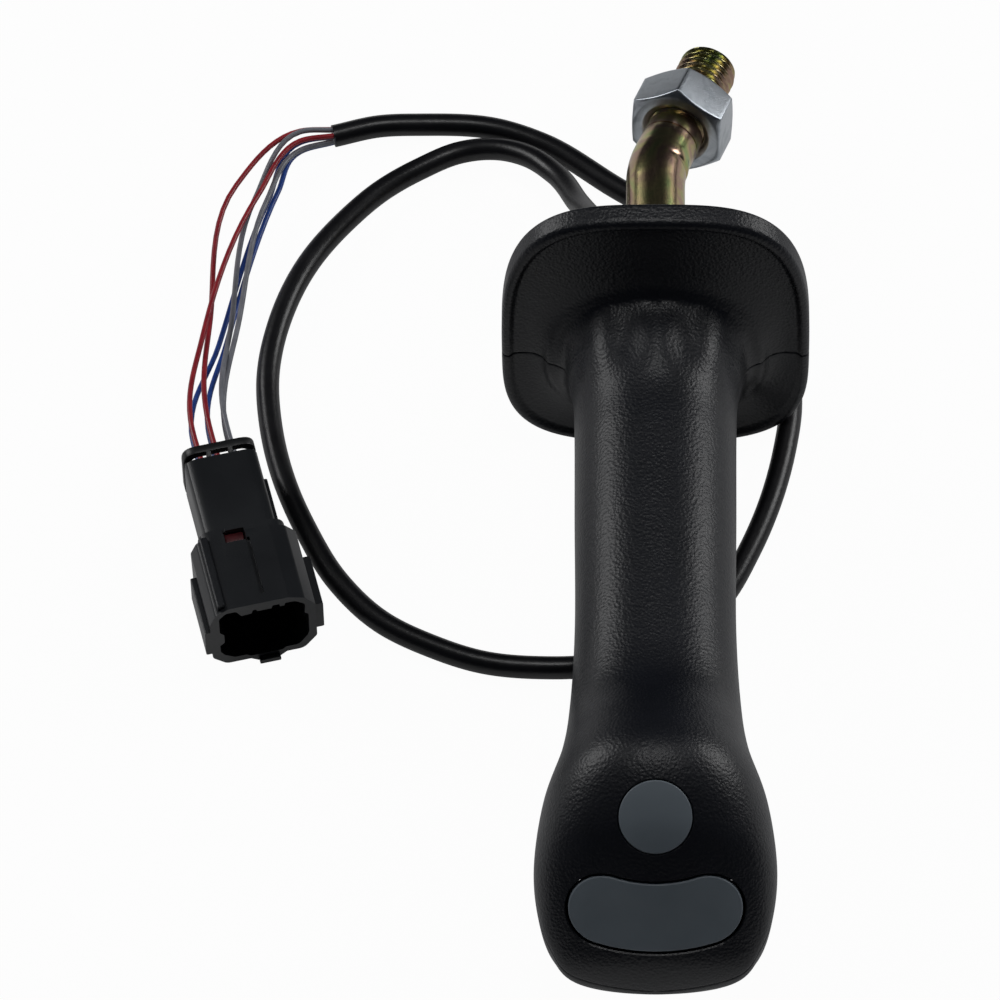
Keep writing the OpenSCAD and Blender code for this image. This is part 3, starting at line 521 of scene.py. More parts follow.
def resampleHalf(s, start):
    # even spacing by arc length, with extra points beside the parting line for its groove
    dense = sectionPoints(s, start + 90 * (1 - np.cos(np.linspace(0, pi, 721))))
    step = np.linalg.norm(np.diff(dense, axis=0), axis=1)
    arc = np.concatenate([[0], np.cumsum(step)])
    total = arc[-1]
    g = min(skin["grooveWidth"], total / 12)
    n = skin["halfPoints"]
    wanted = np.concatenate([[0, 0.28 * g, 0.6 * g], np.linspace(g, total - g, n),
                             [total - 0.6 * g, total - 0.28 * g]])
    return np.stack([np.interp(wanted, arc, dense[:, k]) for k in range(3)], axis=1)


def fullRing(s):
    return np.concatenate([resampleHalf(s, 0), resampleHalf(s, 180)])


def bump(value, centre, half):
    t = np.clip(np.abs(value - centre) / half, 0, 1)
    return 0.5 * (1 + np.cos(pi * t))


def skinSections():
    rings = [restSection(h, inset) for h, inset in restProfile()]
    u, us = 0.0, []
    while u < lastStation - 0.002:
        us.append(u)
        here, there = sectionAt(u), sectionAt(min(u + 0.02, lastStation))
        speed = np.linalg.norm((there - here)[[0, 1, 3, 4]]) / 0.02
        u += skin["ringSpacing"] / max(speed, 1e-6)
    us += [lastStation - 0.0012]
    return rings, [sectionAt(u) for u in us]


def makeSkin():
    restRings, neckRings = skinSections()
    grid = np.array([fullRing(s) for s in restRings + neckRings])
    rows, around = grid.shape[:2]
    startOfNeck = len(restRings)
    # soften the corner where the dished face turns into the neck
    blendRows = range(startOfNeck - 3, startOfNeck + 5)
    for sweepNumber in range(6):
        before = grid.copy()
        for j in blendRows:
            grid[j] = 0.25 * before[j - 1] + 0.5 * before[j] + 0.25 * before[j + 1]
    # normals from the grid
    du = np.gradient(grid, axis=0)
    dv = np.roll(grid, -1, axis=1) - np.roll(grid, 1, axis=1)
    normal = np.cross(dv, du)
    normal /= np.linalg.norm(normal, axis=2, keepdims=True) + 1e-12
    centre = grid.mean(axis=1, keepdims=True)
    facing = np.sign(np.sum(normal[rows // 2] * (grid - centre)[rows // 2]))
    normal *= facing
    offset = np.zeros((rows, around))
    # parting groove: the two lines where the halves of a ring meet
    half = around // 2
    for k, depth in ((0, 1.0), (1, 0.55), (2, 0.12), (-1, 0.55), (-2, 0.12)):
        offset[:, k % around] -= skin["grooveDepth"] * depth
        offset[:, (half + k) % around] -= skin["grooveDepth"] * depth
    # the neck's front: three soft lobes, and a shallow waist under them
    x, d, up = grid[:, :, 0], -grid[:, :, 1], grid[:, :, 2] - seamZ
    front = np.clip((up - 4) / 8, 0, 1)
    for centreX, width, height in ((-12.5, 6.2, 1.2), (0.3, 6.6, 1.3), (13.0, 6.2, 1.2)):
        offset += front * height * bump(x, centreX, width) * bump(d, 14, 12) * (d > 5.5)
    offset -= front * 0.2 * bump(d, 28, 8)
    # low crescents beside the neck's foot
    neck = np.clip((np.arange(rows) - startOfNeck - 1) / 4, 0, 1)[:, None]
    for side, strength in ((-1, 1.0), (1, 0.7)):
        beside = bump(side * x, 24.8, 3.2) * bump(up, -4, 22) * (d < 13) * neck
        offset += strength * 0.8 * beside * bump(d, 7.0, 4.0)
        hollow = bump(side * x, 21.4, 2.0) * bump(up, -4, 22) * neck
        offset -= strength * 0.7 * hollow * bump(d, 9.5, 4.5)
    fade = np.clip(np.arange(rows)[::-1] / 4, 0, 1)[:, None]
    grid = grid + normal * (offset * fade)[:, :, None]
    points = [tuple(p) for p in grid.reshape(-1, 3)]
    faces = ringFaces(rows, around)
    first = grid[0].mean(axis=0)
    last = sectionPoints(stations[lastStation], 0)
    points += [tuple(first), tuple(np.asarray(last, float).reshape(3))]
    return points, faces + endFans(rows, around)


shift = moved(0, undersideY, 0)
skinPoints, skinFaces = makeSkin()
wholeSkin = meshObject("wholeSkin", [shift @ Vector(p) for p in skinPoints], skinFaces, gripNylon)


def outwards(obj):
    work = bmesh.new()
    work.from_mesh(obj.data)
    bmesh.ops.remove_doubles(work, verts=work.verts, dist=1e-7)
    bmesh.ops.recalc_face_normals(work, faces=work.faces)
    volume = work.calc_volume(signed=True)
    if volume < 0:
        bmesh.ops.reverse_faces(work, faces=work.faces)
    work.to_mesh(obj.data)
    work.free()
    return abs(volume) * 1e9


print("skin made,", len(skinFaces), "faces, volume", round(outwards(wholeSkin)), "mm3")


def copyOf(obj, name):
    twin = obj.copy()
    twin.data = obj.data.copy()
    twin.name = name
    bpy.context.scene.collection.objects.link(twin)
    return twin


def surfaceTree(obj):
    return BVHTree.FromPolygons([v.co.copy() for v in obj.data.vertices],
                                [tuple(p.vertices) for p in obj.data.polygons])


skinTree = surfaceTree(wholeSkin)


def frontFrame(u):
    # a frame on the front centre line: local Z points out of the grip
    def at(v):
        return sectionPoints(sectionAt(v), 90).reshape(3)

    along = at(u + 0.02) - at(u - 0.02)
    turn = math.atan2(-along[2], -along[1])
    return shift @ Matrix.Translation(tuple(at(u))) @ Matrix.Rotation(turn, 4, "X")


buttonFrame = frontFrame(lastStation - 4)
rockerFrame = frontFrame(lastStation - 2.25)


def surfaceHeight(frameMatrix, x, y):
    # height of the grip's skin over a place in a front frame
    start = frameMatrix @ Vector((x, y, 12)) * mm
    aim = (frameMatrix.to_3x3() @ Vector((0, 0, -1))).normalized()
    hit = skinTree.ray_cast(start, aim, 0.06)
    return 12 - (hit[0] - start).length / mm if hit[0] is not None else 0.0


def tube(name, radius, low, high, place, material=gripNylon, steps=72):
    return lathe(name, [(radius, low), (radius, high)], place, material, steps)


def cut(obj, cutter):
    outwards(cutter)
    return combine(obj, cutter, "DIFFERENCE")


def boxOf(name, low, high, place, material=gripNylon):
    outline = [(low[0], low[1]), (high[0], low[1]), (high[0], high[1]), (low[0], high[1])]
    return prism(name, outline, low[2], high[2], place, material)


alongRest = shift @ moved(0, 0, seamZ) @ turned(90, "X")   # local Z runs towards the tip
insides = {
    "bore": 15.1, "boreFrom": 3.5, "boreTo": 131.5, "headBore": 21, "headAt": 139.5, "headDrop": 3.4,
    "buttonWell": 7, "wellDepth": 26, "wellRadius": 18, "ribs": ((30, 2.4), (48, 9)), "bossRadius": 4,
    "screwSites": [(s * x, d) for x, d in ((11.4, 15), (11.4, 72), (18.5, 138)) for s in (-1, 1)],
    "screwSeat": 19, "screwHead": 3.6, "screwShank": 1.95, "carrierBoss": (7.5, 11.5), "carrierDepth": 19.9,
    "rodRadius": 7, "rodInside": 60, "crossPinAt": 48, "crossPin": 2.5, "pinHalf": 12.8,
    "buttonHole": 8.42, "capGap": 0.5, "rimWidth": 0.3, "rockerWell": 15.6, "grommet": 4.35, "cablePass": 3.55,
}


def stemCutter(forFront):
    cutter = tube("stemCutter", insides["bore"], insides["boreFrom"], insides["boreTo"], alongRest)
    for at, thick in insides["ribs"]:
        rib = boxOf("rib", (-30, -at - thick / 2, -10), (30, -at + thick / 2, 90), shift)
        combine(cutter, rib, "DIFFERENCE")
    for x, d in insides["screwSites"]:
        place = shift @ moved(x, -d, 0)
        if forFront:
            post = tube("post", insides["bossRadius"], seamZ - 4, seamZ + 36, place, steps=40)
        else:
            r, seat = insides["screwHead"] + 1.4, insides["screwSeat"]
            post = lathe("post", [(r, -10), (r, seat + 2), (insides["bossRadius"], seat + 2),
                                  (insides["bossRadius"], seamZ + 5)], place, gripNylon, 40)
        combine(cutter, post, "DIFFERENCE")
    return cutter


def headCutters(forFront):
    place = shift @ moved(0, -insides["headAt"], seamZ - insides["headDrop"])
    r = insides["headBore"]
    ball = [(r * sin(a), -r * cos(a)) for a in np.linspace(0.02, pi - 0.02, 40)]
    well = tube("wellCutter", insides["wellRadius"], -insides["wellDepth"], -insides["buttonWell"], buttonFrame)
    cutters = [lathe("ballCutter", ball, place, gripNylon, 80), well]
    if forFront:
        for cutter in cutters:
            for side in (-1, 1):
                x, y = insides["carrierBoss"]
                boss = buttonFrame @ moved(side * x, y, 0)
                combine(cutter, tube("boss", 3.2, -insides["carrierDepth"], 10, boss, steps=32), "DIFFERENCE")
    return cutters


def restCutter():
    # the hollow underside, round the neck
    ring = sectionPoints(restSection(0, 3), np.arange(0, 360, 4))
    lean = radians(handRest["lean"])
    outer = [(p[0], (p[2] - seamZ) / cos(lean)) for p in ring]
    place = shift @ moved(0, 0, seamZ) @ Matrix.Rotation(pi / 2 - lean, 4, "X")
    cutter = prism("restCutter", outer, -1, handRest["thick"] - 2.8, place, gripNylon)
    core = tube("core", stem["width"] / 2 + 5.5, -2, 6, place @ moved(0, 1, 0), steps=96)
    return combine(cutter, core, "DIFFERENCE")


def rockerOutline(grow, steps=26):
    bend, span, depth = 42, 23, 16.4
    side, turn = depth / 2 + grow, math.asin(span / 2 / bend)
    endX, endY = bend * sin(turn), bend - bend * cos(turn)

    def at(r, a):
        return (r * sin(a), bend - r * cos(a))

    def ends(s, a):
        return (s * endX + side * cos(a), endY + side * sin(a))

    points = [at(bend + side, turn * k / steps) for k in range(-steps, steps)]
    points += [ends(1, turn - pi / 2 + pi * k / steps) for k in range(steps)]
    points += [at(bend - side, -turn * k / steps) for k in range(-steps, steps)]
    points += [ends(-1, pi / 2 - turn + pi * k / steps) for k in range(steps)]
    return points


def circleOutline(radius, steps=96):
    return [(radius * cos(a), radius * sin(a)) for a in roundAngles(steps)]


def rimCutter(name, frameMatrix, outlineAt, width):
    # a cutter that breaks the hole's edge evenly where the skin curves
    low, high = outlineAt(0), outlineAt(2 * width)
    mid = [surfaceHeight(frameMatrix, x, y) for x, y in outlineAt(width * 0.5)]
    n = len(low)
    points = [(x, y, z - 3) for (x, y), z in zip(low, mid)] + [(x, y, z - width) for (x, y), z in zip(low, mid)]
    points += [(x, y, z + width) for (x, y), z in zip(high, mid)] + [(x, y, 9) for x, y in high]
    faces = ringFaces(4, n) + [tuple(range(n - 1, -1, -1)), tuple(range(3 * n, 4 * n))]
    return meshObject(name, [frameMatrix @ Vector(p) for p in points], faces, gripNylon)


def halfCutter():
    # everything above the parting line, whose height falls towards the tip
    line = [(10.0, seamZ)] + [(-s[0], s[1]) for s in (sectionAt(u) for u in np.linspace(0, lastStation, 300))]
    tip = line[-1]
    line += [(tip[0] - 4, tip[1]), (tip[0] - 4, 90), (10, 90)]
    place = shift @ Matrix(((0, 0, 1, 0), (1, 0, 0, 0), (0, 1, 0, 0), (0, 0, 0, 1)))
    return prism("halfCutter", line, -60, 60, place, gripNylon)


def makeShell(forFront):
    shell = copyOf(wholeSkin, "frontShellSkin" if forFront else "rearShellSkin")
    cutter = halfCutter()
    outwards(cutter)
    combine(shell, cutter, "INTERSECT" if forFront else "DIFFERENCE")
    cutters = [stemCutter(forFront)] + headCutters(forFront) + [restCutter()]
    cutters.append(tube("rodCutter", insides["rodRadius"], -0.3 - 20, insides["rodInside"], alongRest))
    crossPin = shift @ moved(0, -insides["crossPinAt"], seamZ) @ turned(90, "Y")
    half = insides["pinHalf"]
    cutters.append(tube("pinCutter", insides["crossPin"], -half, half, crossPin, steps=48))
    if forFront:
        cable = alongRest @ moved(cableShape["x"], cableShape["up"], 0)
        cutters.append(tube("grommetCutter", insides["grommet"], -10, 4, cable, steps=64))
        cutters.append(tube("cablePass", insides["cablePass"], 10, 40, cable, steps=48))
        cutters.append(tube("buttonCutter", insides["buttonHole"], -8, 22, buttonFrame, steps=96))
        hole = insides["buttonHole"]
        cutters.append(rimCutter("buttonRim", buttonFrame, lambda g: circleOutline(hole + g), insides["rimWidth"]))
    else:
        for x, d in insides["screwSites"]:
            place = shift @ moved(x, -d, 0)
            seat = insides["screwSeat"]
            r, shank = insides["screwHead"], insides["screwShank"]
            profile = [(r, -1), (r, seat), (shank, seat), (shank, seamZ + 1)]
            cutters.append(lathe("screwCutter", profile, place, gripNylon, 48))
    gap, rim = insides["capGap"], insides["rimWidth"]
    cutters.append(prism("rockerCutter", rockerOutline(gap), -insides["rockerWell"], 24, rockerFrame, gripNylon))
    cutters.append(rimCutter("rockerRim", rockerFrame, lambda g: rockerOutline(gap + g), rim))
    for cutter in cutters:
        cut(shell, cutter)
    return shell


frontShell = makeShell(True)
print("front shell made,", len(frontShell.data.polygons), "faces")
rearShell = makeShell(False)
print("rear shell made,", len(rearShell.data.polygons), "faces")
rearShell.data.materials.clear()
rearShell.data.materials.append(rearNylon)
for shell, node, slot in ((frontShell, "front_shell", "grip_front"), (rearShell, "rear_shell", "grip_rear")):
    outwards(shell)
    smoothEdges(shell, 32)
    finishPiece(shell, "grip", slot, node)
bpy.data.objects.remove(wholeSkin)


# Button and rocker, whose faces carry on the grip's surface.
def flushCap(name, frameMatrix, outlineAt, rim, skirt, rings, material, dip=None):
    # nested outlines from the centre to the rim, then a rounded rim and the skirt
    def faceHeight(x, y):
        return surfaceHeight(frameMatrix, x, y) - (dip(x, y) if dip else 0)

    edge = outlineAt(-rim)
    centre = np.mean(np.array(edge), axis=0)
    points = []
    for t in np.linspace(0.04, 1, rings):
        row = [(centre[0] + (x - centre[0]) * t, centre[1] + (y - centre[1]) * t) for x, y in edge]
        points += [(x, y, faceHeight(x, y)) for x, y in row]
    rimHeights = [faceHeight(x, y) for x, y in edge]
    for a in np.linspace(0, pi / 2, 6)[1:]:
        row = outlineAt(-rim + rim * sin(a))
        points += [(x, y, z - rim * (1 - cos(a))) for (x, y), z in zip(row, rimHeights)]
    points += [(x, y, z - skirt) for (x, y), z in zip(outlineAt(0), rimHeights)]
    n = len(edge)
    rows, middle = len(points) // n, faceHeight(*centre)
    points += [(centre[0], centre[1], middle), (centre[0], centre[1], middle - skirt)]
    faces = ringFaces(rows, n) + endFans(rows, n)
    cap = meshObject(name, [frameMatrix @ Vector(p) for p in points], faces, material)
    outwards(cap)
    return cap


def rockerDip(x, y):
    # a shallow thumb dip at each end
    return 0.35 * math.exp(-(((abs(x) - 11.5) / 5.5) ** 2 + ((y - 1.6) / 5.5) ** 2))


def joined(name, pieces):
    # separate closed pieces of one moulding as one object
    points, faces, material = [], [], pieces[0].data.materials[0]
    for piece in pieces:
        base = len(points)
        points += [v.co / mm for v in piece.data.vertices]
        faces += [tuple(base + i for i in p.vertices) for p in piece.data.polygons]
        bpy.data.objects.remove(piece)
    return meshObject(name, points, faces, material)


capSizes = {
    "buttonRadius": 8.24, "buttonRim": 0.3, "buttonSkirt": 7.6, "lipRadius": 9.4, "lipInner": 8.1, "lipEnd": -8.9,
    "postRadius": 2.5, "postEnd": -15.4, "rockerRim": 0.4, "rockerSkirt": 2.4, "swingRoom": 0.12,
    "footAt": 10, "footHalf": (1.6, 2.5), "blockHalf": 3.4, "footEnd": -13.3, "footTop": -2.3,
    "pivotDepth": 11, "pivotHole": 1.3,
}
buttonCap = flushCap("buttonFace", buttonFrame, lambda g: circleOutline(capSizes["buttonRadius"] + g),
                     capSizes["buttonRim"], capSizes["buttonSkirt"], 14, capAbs)
r = capSizes["postRadius"]
post = lathe("buttonPost", [(r, capSizes["postEnd"]), (r, -7.5)], buttonFrame, capAbs, 40)
outer, inner, low = capSizes["lipRadius"], capSizes["lipInner"], capSizes["lipEnd"]
lipProfile = [(outer, low), (outer, -7.8), (inner, -7.5), (inner, low)]
pieces = [buttonCap, post, lathe("buttonLip", lipProfile, buttonFrame, capAbs, 96, False)]
for piece in pieces:
    outwards(piece)
finishPiece(joined("buttonCap", pieces), "button", "caps", "push_button")

rockerFace = flushCap("rockerFace", rockerFrame, lambda g: rockerOutline(g - capSizes["swingRoom"]),
                      capSizes["rockerRim"], capSizes["rockerSkirt"], 16, capAbs, rockerDip)
w, d = capSizes["footHalf"]
block, low, high = capSizes["blockHalf"], capSizes["footEnd"], capSizes["footTop"]
feet = [boxOf("foot", (x - w, -d, low), (x + w, d, high), rockerFrame, capAbs)
        for x in (-capSizes["footAt"], capSizes["footAt"])]
feet.append(boxOf("block", (-block, -block, low), (block, block, high), rockerFrame, capAbs))
pivot = rockerFrame @ moved(0, 0, -capSizes["pivotDepth"]) @ turned(90, "X")
outwards(feet[2])
cut(feet[2], tube("pinHole", capSizes["pivotHole"], -20, 20, pivot, steps=40))
pieces = [rockerFace] + feet
for piece in pieces:
    outwards(piece)
finishPiece(joined("rockerCap", pieces), "rocker", "caps", "rocker_cap")
print("button and rocker made")


# Rod and nut.
rod = {
    "radius": 7, "reach": 44, "inside": 60, "bendRadius": 24, "bendAngle": 22.5, "bendRoll": 34, "end": 36.5,
    "threadFrom": 9.0, "pitch": 2.0, "rootDepth": 1.3, "endChamfer": 1.2, "grooveAt": 5.6,
}
nut = {"flats": 22, "thick": 11, "at": 10, "turn": 115, "flatRadius": 10.5, "chamferSlope": 1.8, "bore": 6.95}
rodFrame = shift @ moved(0, rod["reach"], seamZ) @ turned(-90, "X") \
    @ turned(rod["bendRoll"], "Z")
bend = radians(rod["bendAngle"])


def bentFrame(angle):
    # the rod's frame after this much of its bend
    radius = rod["bendRadius"]
    place = moved(radius * (1 - cos(angle)), 0, radius * sin(angle))
    return rodFrame @ place @ Matrix.Rotation(angle, 4, "Y")


endFrame = bentFrame(bend)


def threadRadius(s, angle):
    # rolled thread: rounded crests and roots, fading in at its start
    phase = (s / rod["pitch"] - angle / (2 * pi)) % 1
    wave = abs(phase * 2 - 1)
    shape = np.clip((wave - 0.12) / 0.76, 0, 1)
    depth = rod["rootDepth"] * (1 - shape ** 1.15)
    fadeIn = np.clip((s - rod["threadFrom"]) / 1.6, 0, 1)
    radius = rod["radius"] - depth * fadeIn
    return min(radius, rod["radius"] - rod["endChamfer"] + (rod["end"] - s) * 0.95)


def makeRod():
    steps = 128
    rings = []

    def ring(place, radiusAt):
        rings.append([place @ Vector((radiusAt(a) * cos(a), radiusAt(a) * sin(a), 0))
                      for a in roundAngles(steps)])

    for s in [-rod["reach"] - rod["inside"]] + list(np.linspace(-rod["reach"] + 1, -0.4, 30)):
        ring(rodFrame @ moved(0, 0, s), lambda a: rod["radius"] - 0.01)
    for t in np.linspace(0.02, 0.98, 60):
        def bent(a, t=t):
            # the inner side buckles slightly, in a shallow chevron
            inner = cos(a)
            crease = 0.45 * math.exp(-((t - 0.42 - 0.25 * abs(sin(a))) / 0.07) ** 2) * max(inner + 0.25, 0)
            bulge = 0.22 * math.exp(-((t - 0.62 - 0.25 * abs(sin(a))) / 0.1) ** 2) * max(inner, 0)
            return rod["radius"] + 0.05 * sin(pi * t) - crease + bulge
        ring(bentFrame(bend * t), bent)
    for s in np.linspace(0.1, rod["grooveAt"] - 0.5, 14):
        ring(endFrame @ moved(0, 0, s), lambda a: rod["radius"] - 0.02)
    for s, r in ((-0.28, 6.98), (-0.2, 6.6), (0.2, 6.6), (0.28, 6.9)):
        ring(endFrame @ moved(0, 0, rod["grooveAt"] + s), lambda a, r=r: r)
    for s in (rod["grooveAt"] + 0.6, rod["threadFrom"] - 0.4):
        ring(endFrame @ moved(0, 0, s), lambda a: 6.9)
    pastNut = nut["at"] + nut["thick"] + 0.2
    for s in np.arange(rod["threadFrom"], rod["end"] + 1e-6, rod["pitch"] / 16):
        # under the nut the thread stays inside its bore
        most = nut["bore"] - 0.06 if s < pastNut else rod["radius"]
        ring(endFrame @ moved(0, 0, s), lambda a, s=s, most=most: min(threadRadius(s, a), most))
    points = [p for r in rings for p in r]
    points += [rodFrame @ Vector((0, 0, -rod["reach"] - rod["inside"])), endFrame @ Vector((0, 0, rod["end"]))]
    faces = ringFaces(len(rings), steps) + endFans(len(rings), steps)
    obj = meshObject("studRod", points, faces, yellowZinc, 50)
    outwards(obj)
    place = shift @ moved(0, -insides["crossPinAt"], seamZ) @ turned(90, "Y")
    cut(obj, tube("pinHole", insides["crossPin"], -12, 12, place, steps=48))
    smoothEdges(obj, 50)
    return obj


finishPiece(makeRod(), "grip", "zinc_rod", "stud_rod")


def makeNut():
    perSide, rings = 16, []
    angles = roundAngles(6 * perSide)
    turn = radians(nut["turn"])
    thick, flat, bore = nut["thick"], nut["flatRadius"], nut["bore"]

    def hexRadius(a):
        return nut["flats"] / 2 / cos((a % (pi / 3)) - pi / 6)

    def ring(radiusAt, heightAt):
        rings.append([(radiusAt(a) * cos(a + turn), radiusAt(a) * sin(a + turn), heightAt(a))
                      for a in angles])

    def start(a):
        return (hexRadius(a) - flat) / nut["chamferSlope"]

    def chamfer(t, heightAt):
        ring(lambda a: flat + (hexRadius(a) - flat) * t,
             lambda a: heightAt(0.03 + start(a) * t * (0.55 + 0.45 * t)))

    for r, h in ((bore, 1.3), (bore + 0.25, 0.85), (bore + 1.5, 0.0), (flat - 0.5, 0.0), (flat, 0.03)):
        ring(lambda a, r=r: r, lambda a, h=h: h)
    for t in (0.35, 0.7, 1.0):
        chamfer(t, lambda depth: depth)
    ring(lambda a: hexRadius(a) + 0.03, lambda a: start(a) + 0.5)
    ring(lambda a: hexRadius(a) + 0.03, lambda a: thick - start(a) - 0.5)
    for t in (1.0, 0.7, 0.35):
        chamfer(t, lambda depth: thick - depth)
    for r, h in ((flat, thick - 0.03), (flat - 0.5, thick), (bore + 1.5, thick), (bore + 0.25, thick - 0.85),
                 (bore, thick - 1.3)):
        ring(lambda a, r=r: r, lambda a, h=h: h)
    place = endFrame @ moved(0, 0, nut["at"])
    points = [place @ Vector(p) for r in rings for p in r]
    faces = ringFaces(len(rings), len(angles)) + joinEnds(len(rings), len(angles))
    obj = meshObject("lockNut", points, faces, brightZinc, 25)
    outwards(obj)
    return softenEdges(obj, 0.28, 3, 24)


finishPiece(makeNut(), "nut", "zinc_nut", "lock_nut")
print("rod and nut made")


# Connector.
connector = {
    "rearWidth": 17.4, "rearHeight": 17, "rearLength": 29,
    "shroudWidth": 25, "shroudHeight": 23, "shroudLength": 21,
    "wall": 1.8, "plate": 2, "slotGap": 1.6, "socketDepth": 19, "lockX": -2, "window": (5, 4.2), "bevel": 0.34,
}
shroudStart = connector["rearLength"] - 1
connectorLength = shroudStart + connector["shroudLength"]
connectorFrame = shift @ moved(connectorPlace["x"], connectorPlace["y"], 0) \
    @ turned(connectorPlace["yaw"], "Z") \
    @ moved(0, 0, connectorPlace["centreZ"]) @ turned(90, "X")


def roundedPolygon(corners, steps=5):
    # corners are (x, y, radius), counter-clockwise; each is rounded by an arc
    points = []
    n = len(corners)
    for i in range(n):
        before, here, after = (Vector(corners[(i + k) % n][:2]) for k in (-1, 0, 1))
        radius = corners[i][2]
        a, b = (before - here).normalized(), (after - here).normalized()
        angle = math.acos(max(-1, min(1, a.dot(b))))
        if radius < 0.01 or angle > 3.1:
            points.append(tuple(here))
            continue
        reach = min(radius / math.tan(angle / 2), (before - here).length * 0.49, (after - here).length * 0.49)
        for k in range(steps + 1):
            t = k / steps
            p, q = here + a * reach, here + b * reach
            points.append(tuple((1 - t) ** 2 * p + 2 * t * (1 - t) * here + t ** 2 * q))
    return points


def roundedBox(w, h, r, x=0, y=0, steps=6):
    return roundedPolygon([(x - w / 2, y - h / 2, r), (x + w / 2, y - h / 2, r), (x + w / 2, y + h / 2, r),
                           (x - w / 2, y + h / 2, r)], steps)


def bar(name, outline, low, high, material=connectorPbt):
    piece = prism(name, outline, low, high, connectorFrame, material)
    outwards(piece)
    return piece


def makeHousing():
    w, h = connector["shroudWidth"], connector["shroudHeight"]
    rw, rh, end = connector["rearWidth"], connector["rearHeight"], connectorLength
    behind = connector["plate"] + connector["slotGap"]
    housing = bar("connectorHousing", roundedBox(rw, rh, 3.4), behind, connector["rearLength"])
    # shoulder, then the shroud, whose lower side is raised beside its locating lug
    shoulder = bar("shoulder", roundedBox(w - 4.4, h - 2.4, 4), shroudStart - 2.4, shroudStart + 1.5)
    combine(housing, shoulder, "UNION")
    top, low = h / 2, -h / 2 + 1.3
    shroud = roundedPolygon([
        (-w / 2 + 0.2, low + 3.2, 1.6), (-w / 2 + 3.4, low, 2.2), (-3.4, low, 0.3), (-1.6, -h / 2, 0.4),
        (3.6, -h / 2, 0.4), (5.2, low, 0.3), (w / 2 - 3.2, low, 2.6), (w / 2, low + 4.2, 1.8),
        (w / 2, top - 4.8, 1.2), (w / 2 - 2.6, top - 1.4, 1.6), (w / 2 - 6.2, top, 1.6),
        (-w / 2 + 4.6, top, 1.8), (-w / 2 + 1.4, top - 1.8, 1.8), (-w / 2, top - 5.2, 1.4)])
    combine(housing, bar("shroud", shroud, shroudStart, end), "UNION")
    # left rail, right rail, rib beside the rear body, ear at the left shoulder, locating lug
    for outline, start, stop in (
            (roundedBox(1.9, 8.6, 0.5, -w / 2 - 0.35, -0.8), shroudStart + 5, end),
            (roundedBox(2.8, 9.4, 0.5, w / 2 + 0.8, -1.8), shroudStart + 5, end - 2.4),
            (roundedBox(2.6, 3.2, 0.6, rw / 2 + 0.3, -3.2), 6, shroudStart + 1),
            (roundedBox(1.7, 2.6, 0.4, -w / 2 + 3.1, top - 0.5), shroudStart + 0.5, end - 1),
            (roundedBox(5.0, 1.3, 0.4, 1.0, -h / 2 + 0.66), end - 8, end + 1.2)):
        combine(housing, bar("rail", outline, start, stop), "UNION")
    # keyed socket: an ear at the top left, teeth in the upper edge, steps at the sides
    iw, ih = w / 2 - connector["wall"], h / 2 - connector["wall"]
    socket = roundedPolygon([
        (-iw + 1.2, low + 3.6, 0.7), (-iw + 3.6, low + 1.9, 1.0), (-4.4, low + 1.9, 0.2), (-3.4, low + 1.1, 0.2),
        (4.2, low + 1.1, 0.2), (5.0, low + 1.9, 0.2), (iw - 2.6, low + 1.9, 1.6), (iw - 0.4, low + 5.0, 0.6),
        (iw, low + 6.6, 0.4), (iw, 3.2, 0.6), (iw - 0.9, 4.0, 0.5), (iw - 0.6, ih - 2.2, 1.6),
        (iw - 3.0, ih - 0.2, 1.8), (5.4, ih - 0.2, 0.2), (5.2, ih - 1.1, 0.15), (4.2, ih - 1.1, 0.15),
        (4.0, ih - 0.2, 0.15), (2.4, ih - 0.2, 0.15), (2.2, ih - 1.2, 0.15), (-1.2, ih - 1.2, 0.15),
        (-1.5, ih - 0.5, 0.15), (-2.2, ih - 0.5, 0.15), (-2.6, ih - 1.7, 0.3), (-5.0, ih - 1.9, 0.5),
        (-6.2, ih + 0.2, 0.9), (-8.6, ih + 0.2, 0.9), (-iw + 0.4, ih - 1.6, 0.9), (-iw + 0.4, 2.6, 0.5),
        (-iw + 1.4, 1.4, 0.4), (-iw + 1.4, -1.6, 0.4), (-iw + 0.3, -2.6, 0.4), (-iw + 0.3, low + 5.2, 0.6)], 4)
    combine(housing, bar("socketCutter", socket, end - connector["socketDepth"], end + 2), "DIFFERENCE")
    x = connector["lockX"]
    window = connector["window"]
    for outline, start, stop in (
            (roundedBox(window[0], 8, 0.3, x, top - 1.2), shroudStart - 1.6, shroudStart + 2.6),
            (roundedBox(0.9, 1.6, 0.1, x + 2.7, top - 0.1), shroudStart + 2.2, end - 2.6),
            (roundedBox(0.7, 1.0, 0.1, x - 2.2, top - 1.2), shroudStart - 4.6, shroudStart - 1.2)):
        combine(housing, bar("cutter", outline, start, stop), "DIFFERENCE")
    for column in (-1, 0, 1):
        for row in (-0.5, 0.5):
            place = moved(column * connectorPlace["pitch"], row * connectorPlace["rowPitch"], 0)
            cut(housing, tube("sealHole", 1.8, 2.6, behind + 4, connectorFrame @ place, steps=32))
    return softenEdges(housing, connector["bevel"], 2, 40)


finishPiece(makeHousing(), "grip", "connector", "connector_housing")
print("connector housing made")


